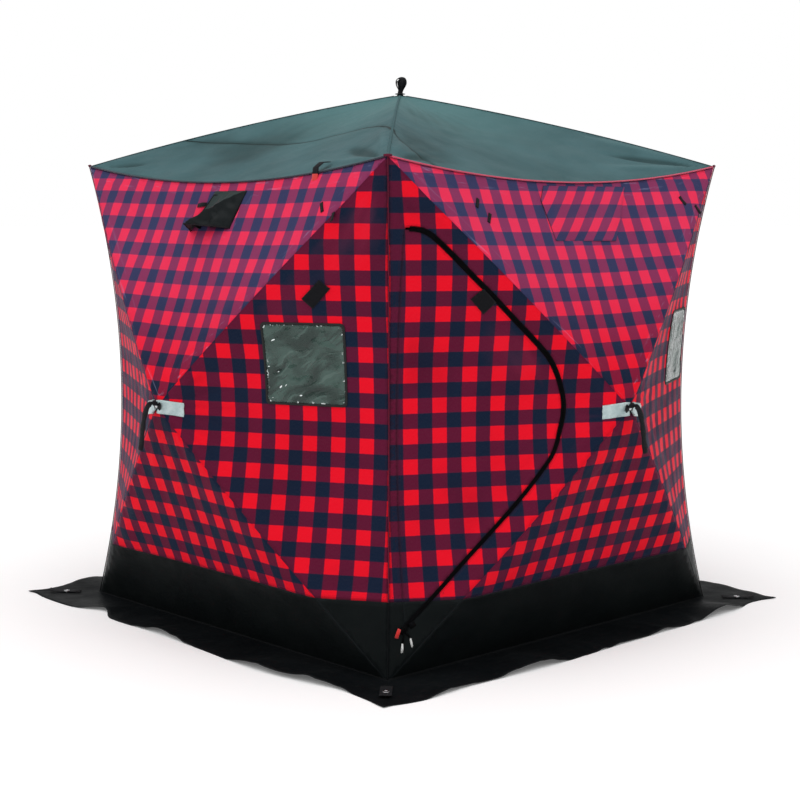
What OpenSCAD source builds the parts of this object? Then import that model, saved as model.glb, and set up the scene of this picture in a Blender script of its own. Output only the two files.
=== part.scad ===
// Pop-up hub shelter for ice fishing: four bulging fabric walls, a low pyramid roof, a black
// lower band, a ground skirt, a zipped side door that swings open, windows and two vents.
// Millimetres. Z is up, the ground is z = 0, the centre of the floor plan is the origin.
// The front wall faces -Y, the door wall faces +X.

/* [Overall] */
// half of the distance between two roof corners along a wall
half = 900; // [800:10:1000]
// half of the distance between two bottom corners
base_half = 896; // [800:1:1000]
// height of the roof corners
eave = 1783; // [1500:1:1900]
// height of the roof peak
apex = 2071; // [1800:1:2200]
// distance from the centre to each wall hub
hub_y = 1224; // [1000:1:1300]
// height of the wall hubs
hub_z = 898; // [700:1:1000]
// how far a corner seam bows inward along each axis
seam_bow = 80; // [0:1:120]
// how far the roof edge sags between its corners
edge_sag = 76; // [0:1:120]
// how far the wall poles bow outward
pole_bow = 20; // [0:1:60]
// how far the roof poles bow upward
roof_bow = 20; // [0:1:60]
// fabric thickness, with its seams and pole sleeves
fabric_t = 4; // [2:0.5:8]
// height of the black lower band
band_h = 263; // [150:1:400]
// half size of the small gap in the cloth at each hub, as a share of the facet
hub_gap = 0.03; // [0.02:0.005:0.06]

/* [Skirt] */
// width of the skirt that lies on the ground
skirt_w = 222; // [100:1:300]
// skirt thickness
skirt_t = 3; // [2:0.5:6]
// distance of each anchor grommet from the corner along each axis
anchor_in = 100; // [60:1:160]
// radius of an anchor grommet's hole
grommet_r = 6; // [4:0.5:10]

/* [Poles] */
// pole radius
pole_r = 5.5; // [4:0.5:8]
// hub radius
hub_r = 32; // [25:1:45]
// hub thickness
hub_t = 26; // [18:1:40]
// depth of a hub behind the cloth's peak
hub_drop = 22; // [18:1:30]

/* [Openings] */
// window width
win_w = 304; // [200:1:400]
// window height
win_h = 288; // [200:1:400]
// clearance around the door flap
door_gap = 8; // [6:1:12]
// width of each half of the zip tape
zip_w = 12; // [8:1:20]

/* [Hidden] */

$fn = 48;
plaid = [0.70, 0.08, 0.14];
dark = [0.06, 0.07, 0.08];
roofc = [0.36, 0.46, 0.44];

// ---- shared curves; o is the distance outside the cloth's outer face ----
function plan_r(z) = base_half + (half - base_half) * z / eave
  - 4 * seam_bow * (z / eave) * (1 - z / eave);
function seam_z(z, o) = z <= band_h ? z : z + (z - band_h) / (eave - band_h) * o * 0.9;
function seam_pt(s, z, o) = [s * (plan_r(z) + 0.78 * o), -(plan_r(z) + 0.78 * o), seam_z(z, o)];
function top_pt(u, o) = [(half + 0.78 * o) * (2 * u - 1), -(half + 0.78 * o),
  eave + 0.9 * o - 4 * edge_sag * u * (1 - u)];
function low_pt(u, o) = [(base_half + 0.78 * o) * (2 * u - 1), -(base_half + 0.78 * o), 0];
function hub_pt(o) = [0, -(hub_y + 1.064 * o), hub_z];
function cone(h, e, v, b) = h + v * (e - h) + [0, -4 * pole_bow * b * v * (1 - v), 0];
function bw(u) = (2 * u - 1) * (2 * u - 1);
function side_at(s, z, v, o) = cone(hub_pt(o), seam_pt(s, z, o), v, bw(z / eave));
function up_at(u, v, o) = cone(hub_pt(o), top_pt(u, o), v, bw(u));
function lo_at(u, v, o) = cone(hub_pt(o), low_pt(u, o), v, bw(u));
// share of the way from the hub to the seam at which a side facet reaches the band's top
function v_band(z) = z < band_h ? (hub_z - band_h) / (hub_z - z) : 1;

// ---- one closed sheet from two grids of points, n rows by m columns ----
function sheet_faces(n, m, flip) = [for (f = concat(
    [for (i = [0:n - 2], j = [0:m - 2], k = [0, 1]) k == 0
      ? [i * m + j, i * m + j + 1, (i + 1) * m + j + 1]
      : [i * m + j, (i + 1) * m + j + 1, (i + 1) * m + j]],
    [for (i = [0:n - 2], j = [0:m - 2], k = [0, 1]) let (q = n * m) k == 0
      ? [q + i * m + j, q + (i + 1) * m + j + 1, q + i * m + j + 1]
      : [q + i * m + j, q + (i + 1) * m + j, q + (i + 1) * m + j + 1]],
    [for (j = [0:m - 2], e = [0, 1], k = [0, 1]) let (q = n * m, a = e * (n - 1) * m + j,
      b = a + 1) e == 0 ? (k == 0 ? [a, q + a, q + b] : [a, q + b, b])
      : (k == 0 ? [a, q + b, q + a] : [a, b, q + b])],
    [for (i = [0:n - 2], e = [0, 1], k = [0, 1]) let (q = n * m, a = i * m + e * (m - 1),
      b = a + m) e == 0 ? (k == 0 ? [a, q + b, q + a] : [a, b, q + b])
      : (k == 0 ? [a, q + a, q + b] : [a, q + b, b])]))
  flip ? [f[0], f[2], f[1]] : f];
module sheet(g0, g1, flip = false) {
  n = len(g0); m = len(g0[0]);
  polyhedron(points = concat([for (r = g0) for (p = r) p], [for (r = g1) for (p = r) p]),
    faces = sheet_faces(n, m, flip), convexity = 6);
}
VS = [0, 0.25, 0.5, 0.75, 1];
ZS = [0, 0.5 * band_h, 0.98 * band_h, band_h, 430, 600, 770, 898, 1030, 1200, 1370, 1540,
  1670, eave];
US = [0, 0.1, 0.2, 0.3, 0.4, 0.5, 0.6, 0.7, 0.8, 0.9, 1];
function side_grid(s, o) = [for (z = ZS) let (v1 = v_band(z))
  [for (t = VS) side_at(s, z, hub_gap + (v1 - hub_gap) * t, o)]];
function up_grid(o) = [for (u = US) [for (t = VS) up_at(u, hub_gap + (1 - hub_gap) * t, o)]];
function lo_grid(o) = let (v1 = v_band(0)) [for (u = US)
  [for (t = VS) lo_at(u, hub_gap + (v1 - hub_gap) * t, o)]];

module wall_turn(k) { rotate([0, 0, 90 * k]) children(); }
module side_sheet(s, a = 0, b = -fabric_t) {
  sheet(side_grid(s, a), side_grid(s, b), s > 0);
}
module upper_sheet(a = 0, b = -fabric_t) { sheet(up_grid(a), up_grid(b), false); }
module lower_sheet() { sheet(lo_grid(0), lo_grid(-fabric_t), true); }

// the black band of one wall: the foot of the lower facet and of both side facets
function band_col(o) = let (zz = [0.98 * band_h, 0.5 * band_h, 0], v0 = v_band(0)) concat(
  [for (z = zz) [for (t = [0, 0.5, 1]) side_at(-1, z, v_band(z) + (1 - v_band(z)) * t, o)]],
  [for (k = [1:9]) [for (t = [0, 0.5, 1]) lo_at(k / 10, v0 + (1 - v0) * t, o)]],
  [for (k = [2, 1, 0]) let (z = zz[k])
    [for (t = [0, 0.5, 1]) side_at(1, z, v_band(z) + (1 - v_band(z)) * t, o)]]);
module band() { sheet(band_col(0), band_col(-fabric_t), true); }

// ---- outlines on a facet: x along it, y up it, pushed through the cloth ----
SN = 0.94; CS = 0.341;
module on_side(s) {
  multmatrix([[SN, 0, s * CS, 0], [s * CS, 0, -SN, -hub_y], [0, 1, 0, hub_z], [0, 0, 0, 1]])
    children();
}
module on_upper() {
  multmatrix([[1, 0, 0, 0], [0, 0.344, -0.939, -hub_y], [0, 0.939, 0.344, hub_z],
    [0, 0, 0, 1]]) children();
}
module slot(pts, lo = -170, hi = 60) {
  translate([0, 0, lo]) linear_extrude(height = hi - lo) polygon(pts);
}
function unit(v) = v / norm(v);
function side_of(a, b) = let (d = unit(b - a)) [d[1], -d[0]];
function grown(p, d) = [for (i = [0:len(p) - 1]) let (a = p[(i + len(p) - 1) % len(p)],
  b = p[i], c = p[(i + 1) % len(p)], n1 = side_of(a, b), n2 = side_of(b, c))
  b + d * (n1 + n2) / (1 + n1 * n2)];

// middle of the zip, anticlockwise from the foot of the hinge side
ZIP = [[-874, -712], [-762, -607], [-659, -506], [-555, -408], [-458, -315], [-374, -226],
  [-309, -144], [-280, -60], [-268, 0], [-272, 55], [-297, 128], [-336, 195], [-400, 262],
  [-474, 332], [-540, 396], [-582, 436], [-640, 489], [-700, 546], [-755, 596],
  [-799, 630], [-836, 643], [-874, 646]];
OPEN = grown(ZIP, door_gap / 2);
FLAP = grown(ZIP, -door_gap / 2);
OPEN_ZIP = grown(ZIP, door_gap / 2 + zip_w);
FLAP_ZIP = grown(ZIP, -door_gap / 2 - zip_w);
hinge_u = -876;

function rect(x, y, w, h) = [[x - w / 2, y - h / 2], [x + w / 2, y - h / 2],
  [x + w / 2, y + h / 2], [x - w / 2, y + h / 2]];
WIN = rect(602, 174, win_w, win_h);
WIN_CUT = rect(602, 174, win_w - 24, win_h - 24);
FAR_WIN = rect(725, 174, win_w, win_h);
FAR_CUT = rect(725, 174, win_w - 24, win_h - 24);
HOOD_CUT = [[-96, 706], [118, 694], [140, 818], [-28, 820]];
COVER = [[-157, 644], [176, 640], [222, 700], [318, 857], [-140, 857], [-176, 800]];
COVER_CUT = [[-120, 690], [160, 690], [225, 812], [-120, 812]];

// ---- fabric ----
module roof_canopy() {
  color(roofc) difference() {
    canopy_loop();
    translate([0, 0, apex]) cube([30, 30, 60], center = true);
  }
}
// the canopy as rings round the peak, closed on themselves
function roof_at(k, u, v, o) = let (e = top_pt(u, o), h = [0, 0, apex + 1.05 * o],
  p = h + v * (e - h) + [0, 0, 4 * roof_bow * bw(u) * v * (1 - v)], a = 90 * k)
  [p[0] * cos(a) - p[1] * sin(a), p[0] * sin(a) + p[1] * cos(a), p[2]];
RV = [0.012, 0.12, 0.25, 0.5, 0.75, 1];
function ring(v, o) = [for (k = [0:3], i = [0:9]) roof_at(k, i / 10, v, o)];
module canopy_loop() {
  n = 40; m = len(RV); q = n * m;
  pts = concat([for (v = RV) for (p = ring(v, 0)) p], [for (v = RV) for (p = ring(v, -fabric_t)) p]);
  polyhedron(points = pts, faces = concat(
    [for (j = [0:m - 2], i = [0:n - 1], k = [0, 1]) let (a = j * n + i, b = j * n + (i + 1) % n)
      k == 0 ? [a, a + n, b + n] : [a, b + n, b]],
    [for (j = [0:m - 2], i = [0:n - 1], k = [0, 1]) let (a = q + j * n + i,
      b = q + j * n + (i + 1) % n) k == 0 ? [a, b + n, a + n] : [a, b, b + n]],
    [for (i = [0:n - 1], k = [0, 1]) let (a = i, b = (i + 1) % n)
      k == 0 ? [a, b, q + b] : [a, q + b, q + a]],
    [for (i = [0:n - 1], k = [0, 1]) let (a = (m - 1) * n + i, b = (m - 1) * n + (i + 1) % n)
      k == 0 ? [a, q + b, b] : [a, q + a, q + b]]), convexity = 6);
}

module front_upper_panel() {
  color(plaid) wall_turn(0) difference() { upper_sheet(); on_upper() slot(HOOD_CUT); }
}
module front_left_panel() { color(plaid) wall_turn(0) side_sheet(-1); }
module front_right_panel() {
  color(plaid) wall_turn(0) difference() { side_sheet(1); on_side(1) slot(WIN_CUT); }
}
module front_lower_panel() { color(plaid) wall_turn(0) lower_sheet(); }
module door_wall_upper_panel() {
  color(plaid) wall_turn(1) difference() { upper_sheet(); on_upper() slot(COVER_CUT); }
}
module door_wall_door_panel() {
  color(plaid) wall_turn(1) difference() { side_sheet(-1); on_side(-1) slot(OPEN); }
}
module door_wall_far_panel() {
  color(plaid) wall_turn(1) difference() { side_sheet(1); on_side(1) slot(FAR_CUT); }
}
module door_wall_lower_panel() { color(plaid) wall_turn(1) lower_sheet(); }
module back_upper_panel() { color(plaid) wall_turn(2) upper_sheet(); }
module back_left_panel() { color(plaid) wall_turn(2) side_sheet(-1); }
module back_right_panel() {
  color(plaid) wall_turn(2) difference() { side_sheet(1); on_side(1) slot(WIN_CUT); }
}
module back_lower_panel() { color(plaid) wall_turn(2) lower_sheet(); }
module left_upper_panel() { color(plaid) wall_turn(3) upper_sheet(); }
module left_left_panel() { color(plaid) wall_turn(3) side_sheet(-1); }
module left_right_panel() {
  color(plaid) wall_turn(3) difference() { side_sheet(1); on_side(1) slot(WIN_CUT); }
}
module left_lower_panel() { color(plaid) wall_turn(3) lower_sheet(); }
module front_band() { color(dark) wall_turn(0) band(); }
module door_wall_band() {
  color(dark) wall_turn(1) difference() { band(); on_side(-1) slot(OPEN); }
}
module back_band() { color(dark) wall_turn(2) band(); }
module left_band() { color(dark) wall_turn(3) band(); }

// ---- skirt and anchors ----
anchor_xy = base_half + anchor_in;
module skirt() {
  a = base_half + 3; b = base_half + skirt_w;
  difference() {
    linear_extrude(height = skirt_t)
      polygon([[-a, -a], [-b, -b], [b, -b], [a, -a]]);
    for (s = [-1, 1]) translate([s * anchor_xy, -anchor_xy, -1]) cylinder(r = grommet_r + 8,
      h = skirt_t + 2);
  }
}
module front_skirt() { color(dark) wall_turn(0) skirt(); }
module door_wall_skirt() { color(dark) wall_turn(1) skirt(); }
module back_skirt() { color(dark) wall_turn(2) skirt(); }
module left_skirt() { color(dark) wall_turn(3) skirt(); }
module anchor_tabs() {
  color([0.10, 0.10, 0.11]) for (k = [0:3]) wall_turn(k)
    translate([anchor_xy, -anchor_xy, 0]) difference() {
      union() {
        translate([0, 0, skirt_t + 0.2]) rotate([0, 0, 45]) translate([-22, -60, 0])
          cube([44, 120, 2.4]);
        translate([0, 0, 0.4]) cylinder(r = grommet_r + 6, h = skirt_t + 3.8);
      }
      translate([0, 0, -1]) cylinder(r = grommet_r, h = skirt_t + 10);
    }
}

// ---- door ----
module door_flap() {
  color(plaid) wall_turn(1) intersection() { side_sheet(-1); on_side(-1) slot(FLAP); }
}
module door_lower_flap() {
  color(dark) wall_turn(1) intersection() { band(); on_side(-1) slot(FLAP); }
}
module door_zip() {
  color(dark) wall_turn(1) intersection() {
    side_sheet(-1, 2.8, 0.2);
    on_side(-1) difference() {
      slot(concat([for (i = [1:len(FLAP) - 2]) FLAP[i]], [[-860, 641], [-860, 600],
        [-868, -640], [-846, -682]]));
      slot(concat([for (i = [1:len(FLAP) - 2]) FLAP_ZIP[i]], [[-890, 628], [-900, -640],
        [-846, -668]]), -180, 70);
    }
  }
}
module frame_zip() {
  color(dark) wall_turn(1) intersection() {
    side_sheet(-1, 2.8, 0.2);
    on_side(-1) difference() {
      slot([for (i = [1:len(OPEN) - 1]) OPEN_ZIP[i]]);
      slot(concat([[-900, -720]], [for (i = [1:len(OPEN) - 2]) OPEN[i]], [[-900, 655]]),
        -180, 70);
    }
  }
}

// ---- poles and hubs ----
function pole_ring(p, d, r) = let (w = unit(d), a = unit(cross(w, [0.31, 0.2, 0.93])),
  b = cross(w, a)) [for (k = [0:7]) p + r * (cos(45 * k) * a + sin(45 * k) * b)];
module pole(path, r) {
  n = len(path);
  rings = [for (i = [0:n - 1]) pole_ring(path[i],
    path[min(i + 1, n - 1)] - path[max(i - 1, 0)], r)];
  polyhedron(points = [for (q = rings) for (p = q) p], faces = concat(
    [for (i = [0:n - 2], k = [0:7], t = [0, 1]) let (a = i * 8 + k, b = i * 8 + (k + 1) % 8)
      t == 0 ? [a, b, b + 8] : [a, b + 8, a + 8]],
    [for (k = [1:6]) [0, k + 1, k]],
    [for (k = [1:6]) let (e = (n - 1) * 8) [e, e + k, e + k + 1]]), convexity = 4);
}
mid_drop = hub_drop + hub_t / 2;
PS = [0.042, 0.16, 0.3, 0.44, 0.58, 0.72, 0.86, 0.955];
function wall_pole(s, e) = let (h = [0, -(hub_y - mid_drop), hub_z], c = e > 0
  ? [s * (half - 22), -(half - 22), eave - 25] : [s * (base_half - 22), -(base_half - 22), 8])
  [for (v = PS) h + v * (c - h) + [0, -4 * pole_bow * v * (1 - v), 0]];
module wall_poles() {
  color([0.12, 0.12, 0.13]) for (k = [0:3]) wall_turn(k) for (s = [-1, 1], e = [-1, 1])
    pole(wall_pole(s, e), pole_r);
}
module roof_poles() {
  h = [0, 0, apex - mid_drop]; c = [half - 22, -(half - 22), eave - 25];
  color([0.12, 0.12, 0.13]) for (k = [0:3]) wall_turn(k)
    pole([for (v = PS) h + v * (c - h) + [0, 0, 4 * roof_bow * v * (1 - v)]], pole_r);
}
// a hub looking along +Z, its cloth side at z = 0, its outside cap above
module hub() {
  translate([0, 0, -hub_drop - hub_t]) cylinder(r = hub_r, h = hub_t);
  translate([0, 0, -hub_drop - 1]) cylinder(r = 8, h = hub_drop + 4);
  translate([0, 0, 2.6]) cylinder(r = 21, h = 3);
}
module wall_hubs() {
  color(dark) for (k = [0:3]) wall_turn(k) translate([0, -hub_y, hub_z]) rotate([90, 0, 0])
    hub();
}
module roof_hub() { color(dark) translate([0, 0, apex]) hub(); }

// ---- windows, vents and small pieces ----
module window(pts) { intersection() { side_sheet(1, 2.2, 0.3); on_side(1) slot(pts); } }
module front_window() { color([0.6, 0.68, 0.66, 0.6]) wall_turn(0) window(WIN); }
module door_wall_window() { color([0.6, 0.68, 0.66, 0.6]) wall_turn(1) window(FAR_WIN); }
module back_window() { color([0.6, 0.68, 0.66, 0.6]) wall_turn(2) window(WIN); }
module left_window() { color([0.6, 0.68, 0.66, 0.6]) wall_turn(3) window(WIN); }

module wedge(x0, x1, y0, y1, h, z0) {
  polyhedron(points = [[x0, y1, z0], [x1, y1, z0], [x0 - 26, y0, z0], [x1 - 22, y0, z0],
    [x0 - 22, y0 - 6, z0 + h], [x1 - 24, y0 - 6, z0 + h]],
    faces = [[0, 3, 1], [0, 2, 3], [0, 5, 4], [0, 1, 5], [0, 4, 2], [1, 3, 5], [2, 5, 3],
      [2, 4, 5]], convexity = 3);
}
module vent_hood() {
  color(dark) on_upper() difference() {
    wedge(-78, 166, 678, 838, 78, -14);
    translate([0, -12, 0]) wedge(-73, 161, 672, 834, 74, -18);
  }
}
module vent_cover() {
  color(plaid) wall_turn(1) intersection() {
    upper_sheet(9, 1);
    on_upper() slot(COVER);
  }
}
STRAP = [[2, 6], [22, 14], [44, 2], [58, -28], [66, -78], [70, -160], [67, -160],
  [63, -78], [55, -27], [42, 0], [21, 11], [2, 3]];
module hub_pull_straps() {
  color(dark) for (k = [0:3]) wall_turn(k) translate([0, -hub_y - 4.2, hub_z])
    rotate([90, 0, -90]) translate([0, 0, -11]) linear_extrude(height = 22) polygon(STRAP);
}
module reflective_strips() {
  color([0.62, 0.70, 0.71]) for (k = [0:3]) wall_turn(k) for (s = [-1, 1]) intersection() {
    side_sheet(s, 2.2, 0.3);
    translate([s * 79, -hub_y, hub_z]) cube([98, 200, 50], center = true);
  }
}
module roof_pull_loop() {
  color(dark) translate([0, 0, apex + 6]) rotate([90, 0, 0]) translate([0, 30, -9])
    difference() {
      cylinder(r = 29, h = 18);
      translate([0, 0, -1]) cylinder(r = 25, h = 20);
      translate([0, -30, 9]) cube([10, 1, 30], center = true);
    }
}
FP = [[612, 404], [680, 469], [717, 440], [648, 370]];
DP = [[-636, 404], [-594, 440], [-546, 392], [-588, 352]];
module front_patch() {
  color(dark) wall_turn(0) intersection() { side_sheet(1, 3.2, 0.3); on_side(1) slot(FP); }
}
module door_patch() {
  color(dark) wall_turn(1) intersection() { side_sheet(-1, 6.4, 3.2); on_side(-1) slot(DP); }
}

roof_canopy();
front_upper_panel();
front_left_panel();
front_right_panel();
front_lower_panel();
door_wall_upper_panel();
door_wall_door_panel();
door_wall_far_panel();
door_wall_lower_panel();
back_upper_panel();
back_left_panel();
back_right_panel();
back_lower_panel();
left_upper_panel();
left_left_panel();
left_right_panel();
left_lower_panel();
front_band();
door_wall_band();
back_band();
left_band();
front_skirt();
door_wall_skirt();
back_skirt();
left_skirt();
anchor_tabs();
door_flap();
door_lower_flap();
door_zip();
frame_zip();
wall_poles();
roof_poles();
wall_hubs();
roof_hub();
front_window();
door_wall_window();
back_window();
left_window();
vent_hood();
vent_cover();
hub_pull_straps();
reflective_strips();
roof_pull_loop();
front_patch();
door_patch();
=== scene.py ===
"""Pop-up ice fishing hut: cloth walls and roof on hubs and poles, a ground skirt and a zip door."""
import logging
import math
from dataclasses import dataclass, field
from enum import Enum
from typing import Callable, Optional, Sequence

import bpy
import numpy as np
from mathutils import Matrix, Vector, noise
from mathutils.geometry import delaunay_2d_cdt


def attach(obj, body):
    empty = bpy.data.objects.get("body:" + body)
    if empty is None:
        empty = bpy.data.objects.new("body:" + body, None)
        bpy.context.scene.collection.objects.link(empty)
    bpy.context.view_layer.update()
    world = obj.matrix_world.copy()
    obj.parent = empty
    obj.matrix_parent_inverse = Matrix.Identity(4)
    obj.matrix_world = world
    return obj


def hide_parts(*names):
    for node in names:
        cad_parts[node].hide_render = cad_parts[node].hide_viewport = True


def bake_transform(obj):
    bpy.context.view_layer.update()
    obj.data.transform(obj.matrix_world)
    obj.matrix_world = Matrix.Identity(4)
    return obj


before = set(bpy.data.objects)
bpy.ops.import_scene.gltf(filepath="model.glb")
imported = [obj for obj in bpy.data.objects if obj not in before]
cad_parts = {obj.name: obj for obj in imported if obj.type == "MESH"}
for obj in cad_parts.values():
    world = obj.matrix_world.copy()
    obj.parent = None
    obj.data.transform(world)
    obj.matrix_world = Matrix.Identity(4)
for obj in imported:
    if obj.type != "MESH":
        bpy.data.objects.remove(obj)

LOG = logging.getLogger("hut")
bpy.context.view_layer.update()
Array = np.ndarray


# ---------------------------------------------------------------- shader language
class Sock:
    """One output socket of a finish, used in Python expressions."""

    def __init__(self, look: "Look", socket: bpy.types.NodeSocket) -> None:
        """Keeps the socket and the finish that it belongs to."""
        self.look, self.socket = look, socket

    def _math(self, operation: str, *others: object, flip: bool = False) -> "Sock":
        """Adds a Math node.

        Args:
            operation: the Math node's operation.
            others: the other operands, numbers or sockets.
            flip: puts the first other operand before this one.

        Returns:
            The node's output.
        """
        values = [self, *others]
        if flip:
            values = [others[0], self, *others[1:]]
        return self.look.node("ShaderNodeMath", {"operation": operation}, dict(enumerate(values)))

    def __add__(self, other: object) -> "Sock":
        """Sum."""
        return self._math("ADD", other)

    __radd__ = __add__

    def __sub__(self, other: object) -> "Sock":
        """Difference."""
        return self._math("SUBTRACT", other)

    def __rsub__(self, other: object) -> "Sock":
        """Reflected difference."""
        return self._math("SUBTRACT", other, flip=True)

    def __mul__(self, other: object) -> "Sock":
        """Product."""
        return self._math("MULTIPLY", other)

    __rmul__ = __mul__

    def __truediv__(self, other: object) -> "Sock":
        """Quotient."""
        return self._math("DIVIDE", other)

    def __rtruediv__(self, other: object) -> "Sock":
        """Reflected quotient."""
        return self._math("DIVIDE", other, flip=True)

    def __pow__(self, other: object) -> "Sock":
        """Power."""
        return self._math("POWER", other)

    def __abs__(self) -> "Sock":
        """Absolute value."""
        return self._math("ABSOLUTE")

    def wave(self) -> "Sock":
        """Sine, in radians."""
        return self._math("SINE")

    def fold(self, size: float) -> "Sock":
        """Ping-pong between 0 and a size."""
        return self._math("PINGPONG", size)

    def least(self, other: object) -> "Sock":
        """The smaller of two values."""
        return self._math("MINIMUM", other)

    def most(self, other: object) -> "Sock":
        """The larger of two values."""
        return self._math("MAXIMUM", other)

    def clamp(self) -> "Sock":
        """Limits the value to 0 and 1."""
        return self.look.node("ShaderNodeClamp", {}, {"Value": self})

    def ramp(self, low: float, high: float, to_low: float = 0.0, to_high: float = 1.0) -> "Sock":
        """Smooth step from one value to another.

        Args:
            low: the value at which the step starts.
            high: the value at which it ends.
            to_low: the result at and before the start.
            to_high: the result at and after the end.

        Returns:
            The stepped value.
        """
        return self.look.node(
            "ShaderNodeMapRange",
            {"interpolation_type": "SMOOTHSTEP", "clamp": True},
            {"Value": self, "From Min": low, "From Max": high, "To Min": to_low, "To Max": to_high},
        )


class Look:
    """One material under construction, with its Principled shader."""

    def __init__(self, name: str) -> None:
        """Makes an empty node material of that name."""
        self.material = bpy.data.materials.new(name)
        self.material.use_nodes = True
        self.tree = self.material.node_tree
        self.tree.nodes.clear()
        self.out = self.tree.nodes.new("ShaderNodeOutputMaterial")
        self.shader = self.tree.nodes.new("ShaderNodeBsdfPrincipled")
        self.tree.links.new(self.shader.outputs[0], self.out.inputs[0])

    def plug(self, node: bpy.types.Node, key: object, value: object) -> None:
        """Sets or links one input of a node.

        Args:
            node: the node.
            key: the input's name or number.
            value: a number, a tuple or a Sock.
        """
        target = node.inputs[key]
        if isinstance(value, Sock):
            self.tree.links.new(value.socket, target)
        elif isinstance(value, tuple) and len(value) == 3 and target.type == "RGBA":
            target.default_value = (*value, 1.0)
        else:
            target.default_value = value

    def node(self, kind: str, settings: dict, inputs: dict, output: object = 0) -> Sock:
        """Adds any node.

        Args:
            kind: the node's type name.
            settings: its properties, set before its sockets; "stops" fills a colour ramp.
            inputs: values or Socks by socket name or number.
            output: the output wanted, by name or number.

        Returns:
            That output.
        """
        made = self.tree.nodes.new(kind)
        for key, value in settings.items():
            if key == "stops":
                ramp = made.color_ramp
                while len(ramp.elements) < len(value):
                    ramp.elements.new(0.5)
                for element, (at, colour) in zip(ramp.elements, value):
                    element.position, element.color = at, (*colour, 1.0)
            else:
                setattr(made, key, value)
        for key, value in inputs.items():
            self.plug(made, key, value)
        return Sock(self, made.outputs[output])

    def attribute(self, name: str) -> Sock:
        """The vector of a mesh attribute."""
        return self.node("ShaderNodeAttribute", {"attribute_name": name}, {}, "Vector")

    def number(self, name: str) -> Sock:
        """The number of a mesh attribute, 0 where the mesh has none."""
        return self.node("ShaderNodeAttribute", {"attribute_name": name}, {}, "Fac")

    def shaded(self, colour: Sock, low: tuple, high: tuple, amount: float) -> Sock:
        """Paints shade into the valleys of the folds and a highlight on their crests.

        Args:
            colour: the colour of flat cloth.
            low: the painted shade colour in the deepest valley.
            high: the painted highlight colour on the highest crest.
            amount: the share of them.

        Returns:
            The colour with the painted shade and highlight.
        """
        fold = self.number("fold")
        colour = self.mix((fold * -1.0).ramp(0.001, 0.010, 0.0, amount), colour, low)
        return self.mix(fold.ramp(0.002, 0.013, 0.0, amount * 0.5), colour, high)

    def place(self) -> Sock:
        """Object coordinates, in metres."""
        return self.node("ShaderNodeTexCoord", {}, {}, "Object")

    def split(self, vector: Sock) -> tuple[Sock, Sock, Sock]:
        """The three numbers of a vector."""
        first = self.node("ShaderNodeSeparateXYZ", {}, {0: vector})
        return first, Sock(self, first.socket.node.outputs[1]), Sock(self, first.socket.node.outputs[2])

    def join(self, x: object, y: object, z: object) -> Sock:
        """A vector from three numbers."""
        return self.node("ShaderNodeCombineXYZ", {}, {0: x, 1: y, 2: z})

    def scaled(self, vector: Sock, scale: tuple[float, float, float]) -> Sock:
        """A vector multiplied part by part."""
        return self.node("ShaderNodeVectorMath", {"operation": "MULTIPLY"}, {0: vector, 1: scale})

    def mix(self, factor: object, low: object, high: object, how: str = "MIX") -> Sock:
        """Mixes two colours.

        Args:
            factor: the share of the second colour.
            low: the first colour.
            high: the second colour.
            how: the blend type.

        Returns:
            The mixed colour.
        """
        made = self.tree.nodes.new("ShaderNodeMix")
        made.data_type, made.blend_type = "RGBA", how
        for key, value in ((0, factor), (6, low), (7, high)):
            self.plug(made, key, value)
        return Sock(self, made.outputs[2])

    def noise(self, vector: Sock, scale: float, detail: float = 3.0, rough: float = 0.55) -> Sock:
        """Noise from 0 to 1 at a scale per metre."""
        return self.node("ShaderNodeTexNoise", {}, {"Vector": vector, "Scale": scale, "Detail": detail, "Roughness": rough})

    def bump(self, height: Sock, strength: float, distance: float) -> None:
        """Feeds a height in units of a distance to the shader's normal."""
        self.plug(self.shader, "Normal", self.node("ShaderNodeBump", {}, {"Strength": strength, "Distance": distance, "Height": height}))

    def finish(self, **sockets: object) -> bpy.types.Material:
        """Sets the shader's sockets by name, with underscores for spaces.

        Args:
            sockets: socket names and their values.

        Returns:
            The material.
        """
        for key, value in sockets.items():
            self.plug(self.shader, key.replace("_", " "), value)
        return self.material


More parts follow.
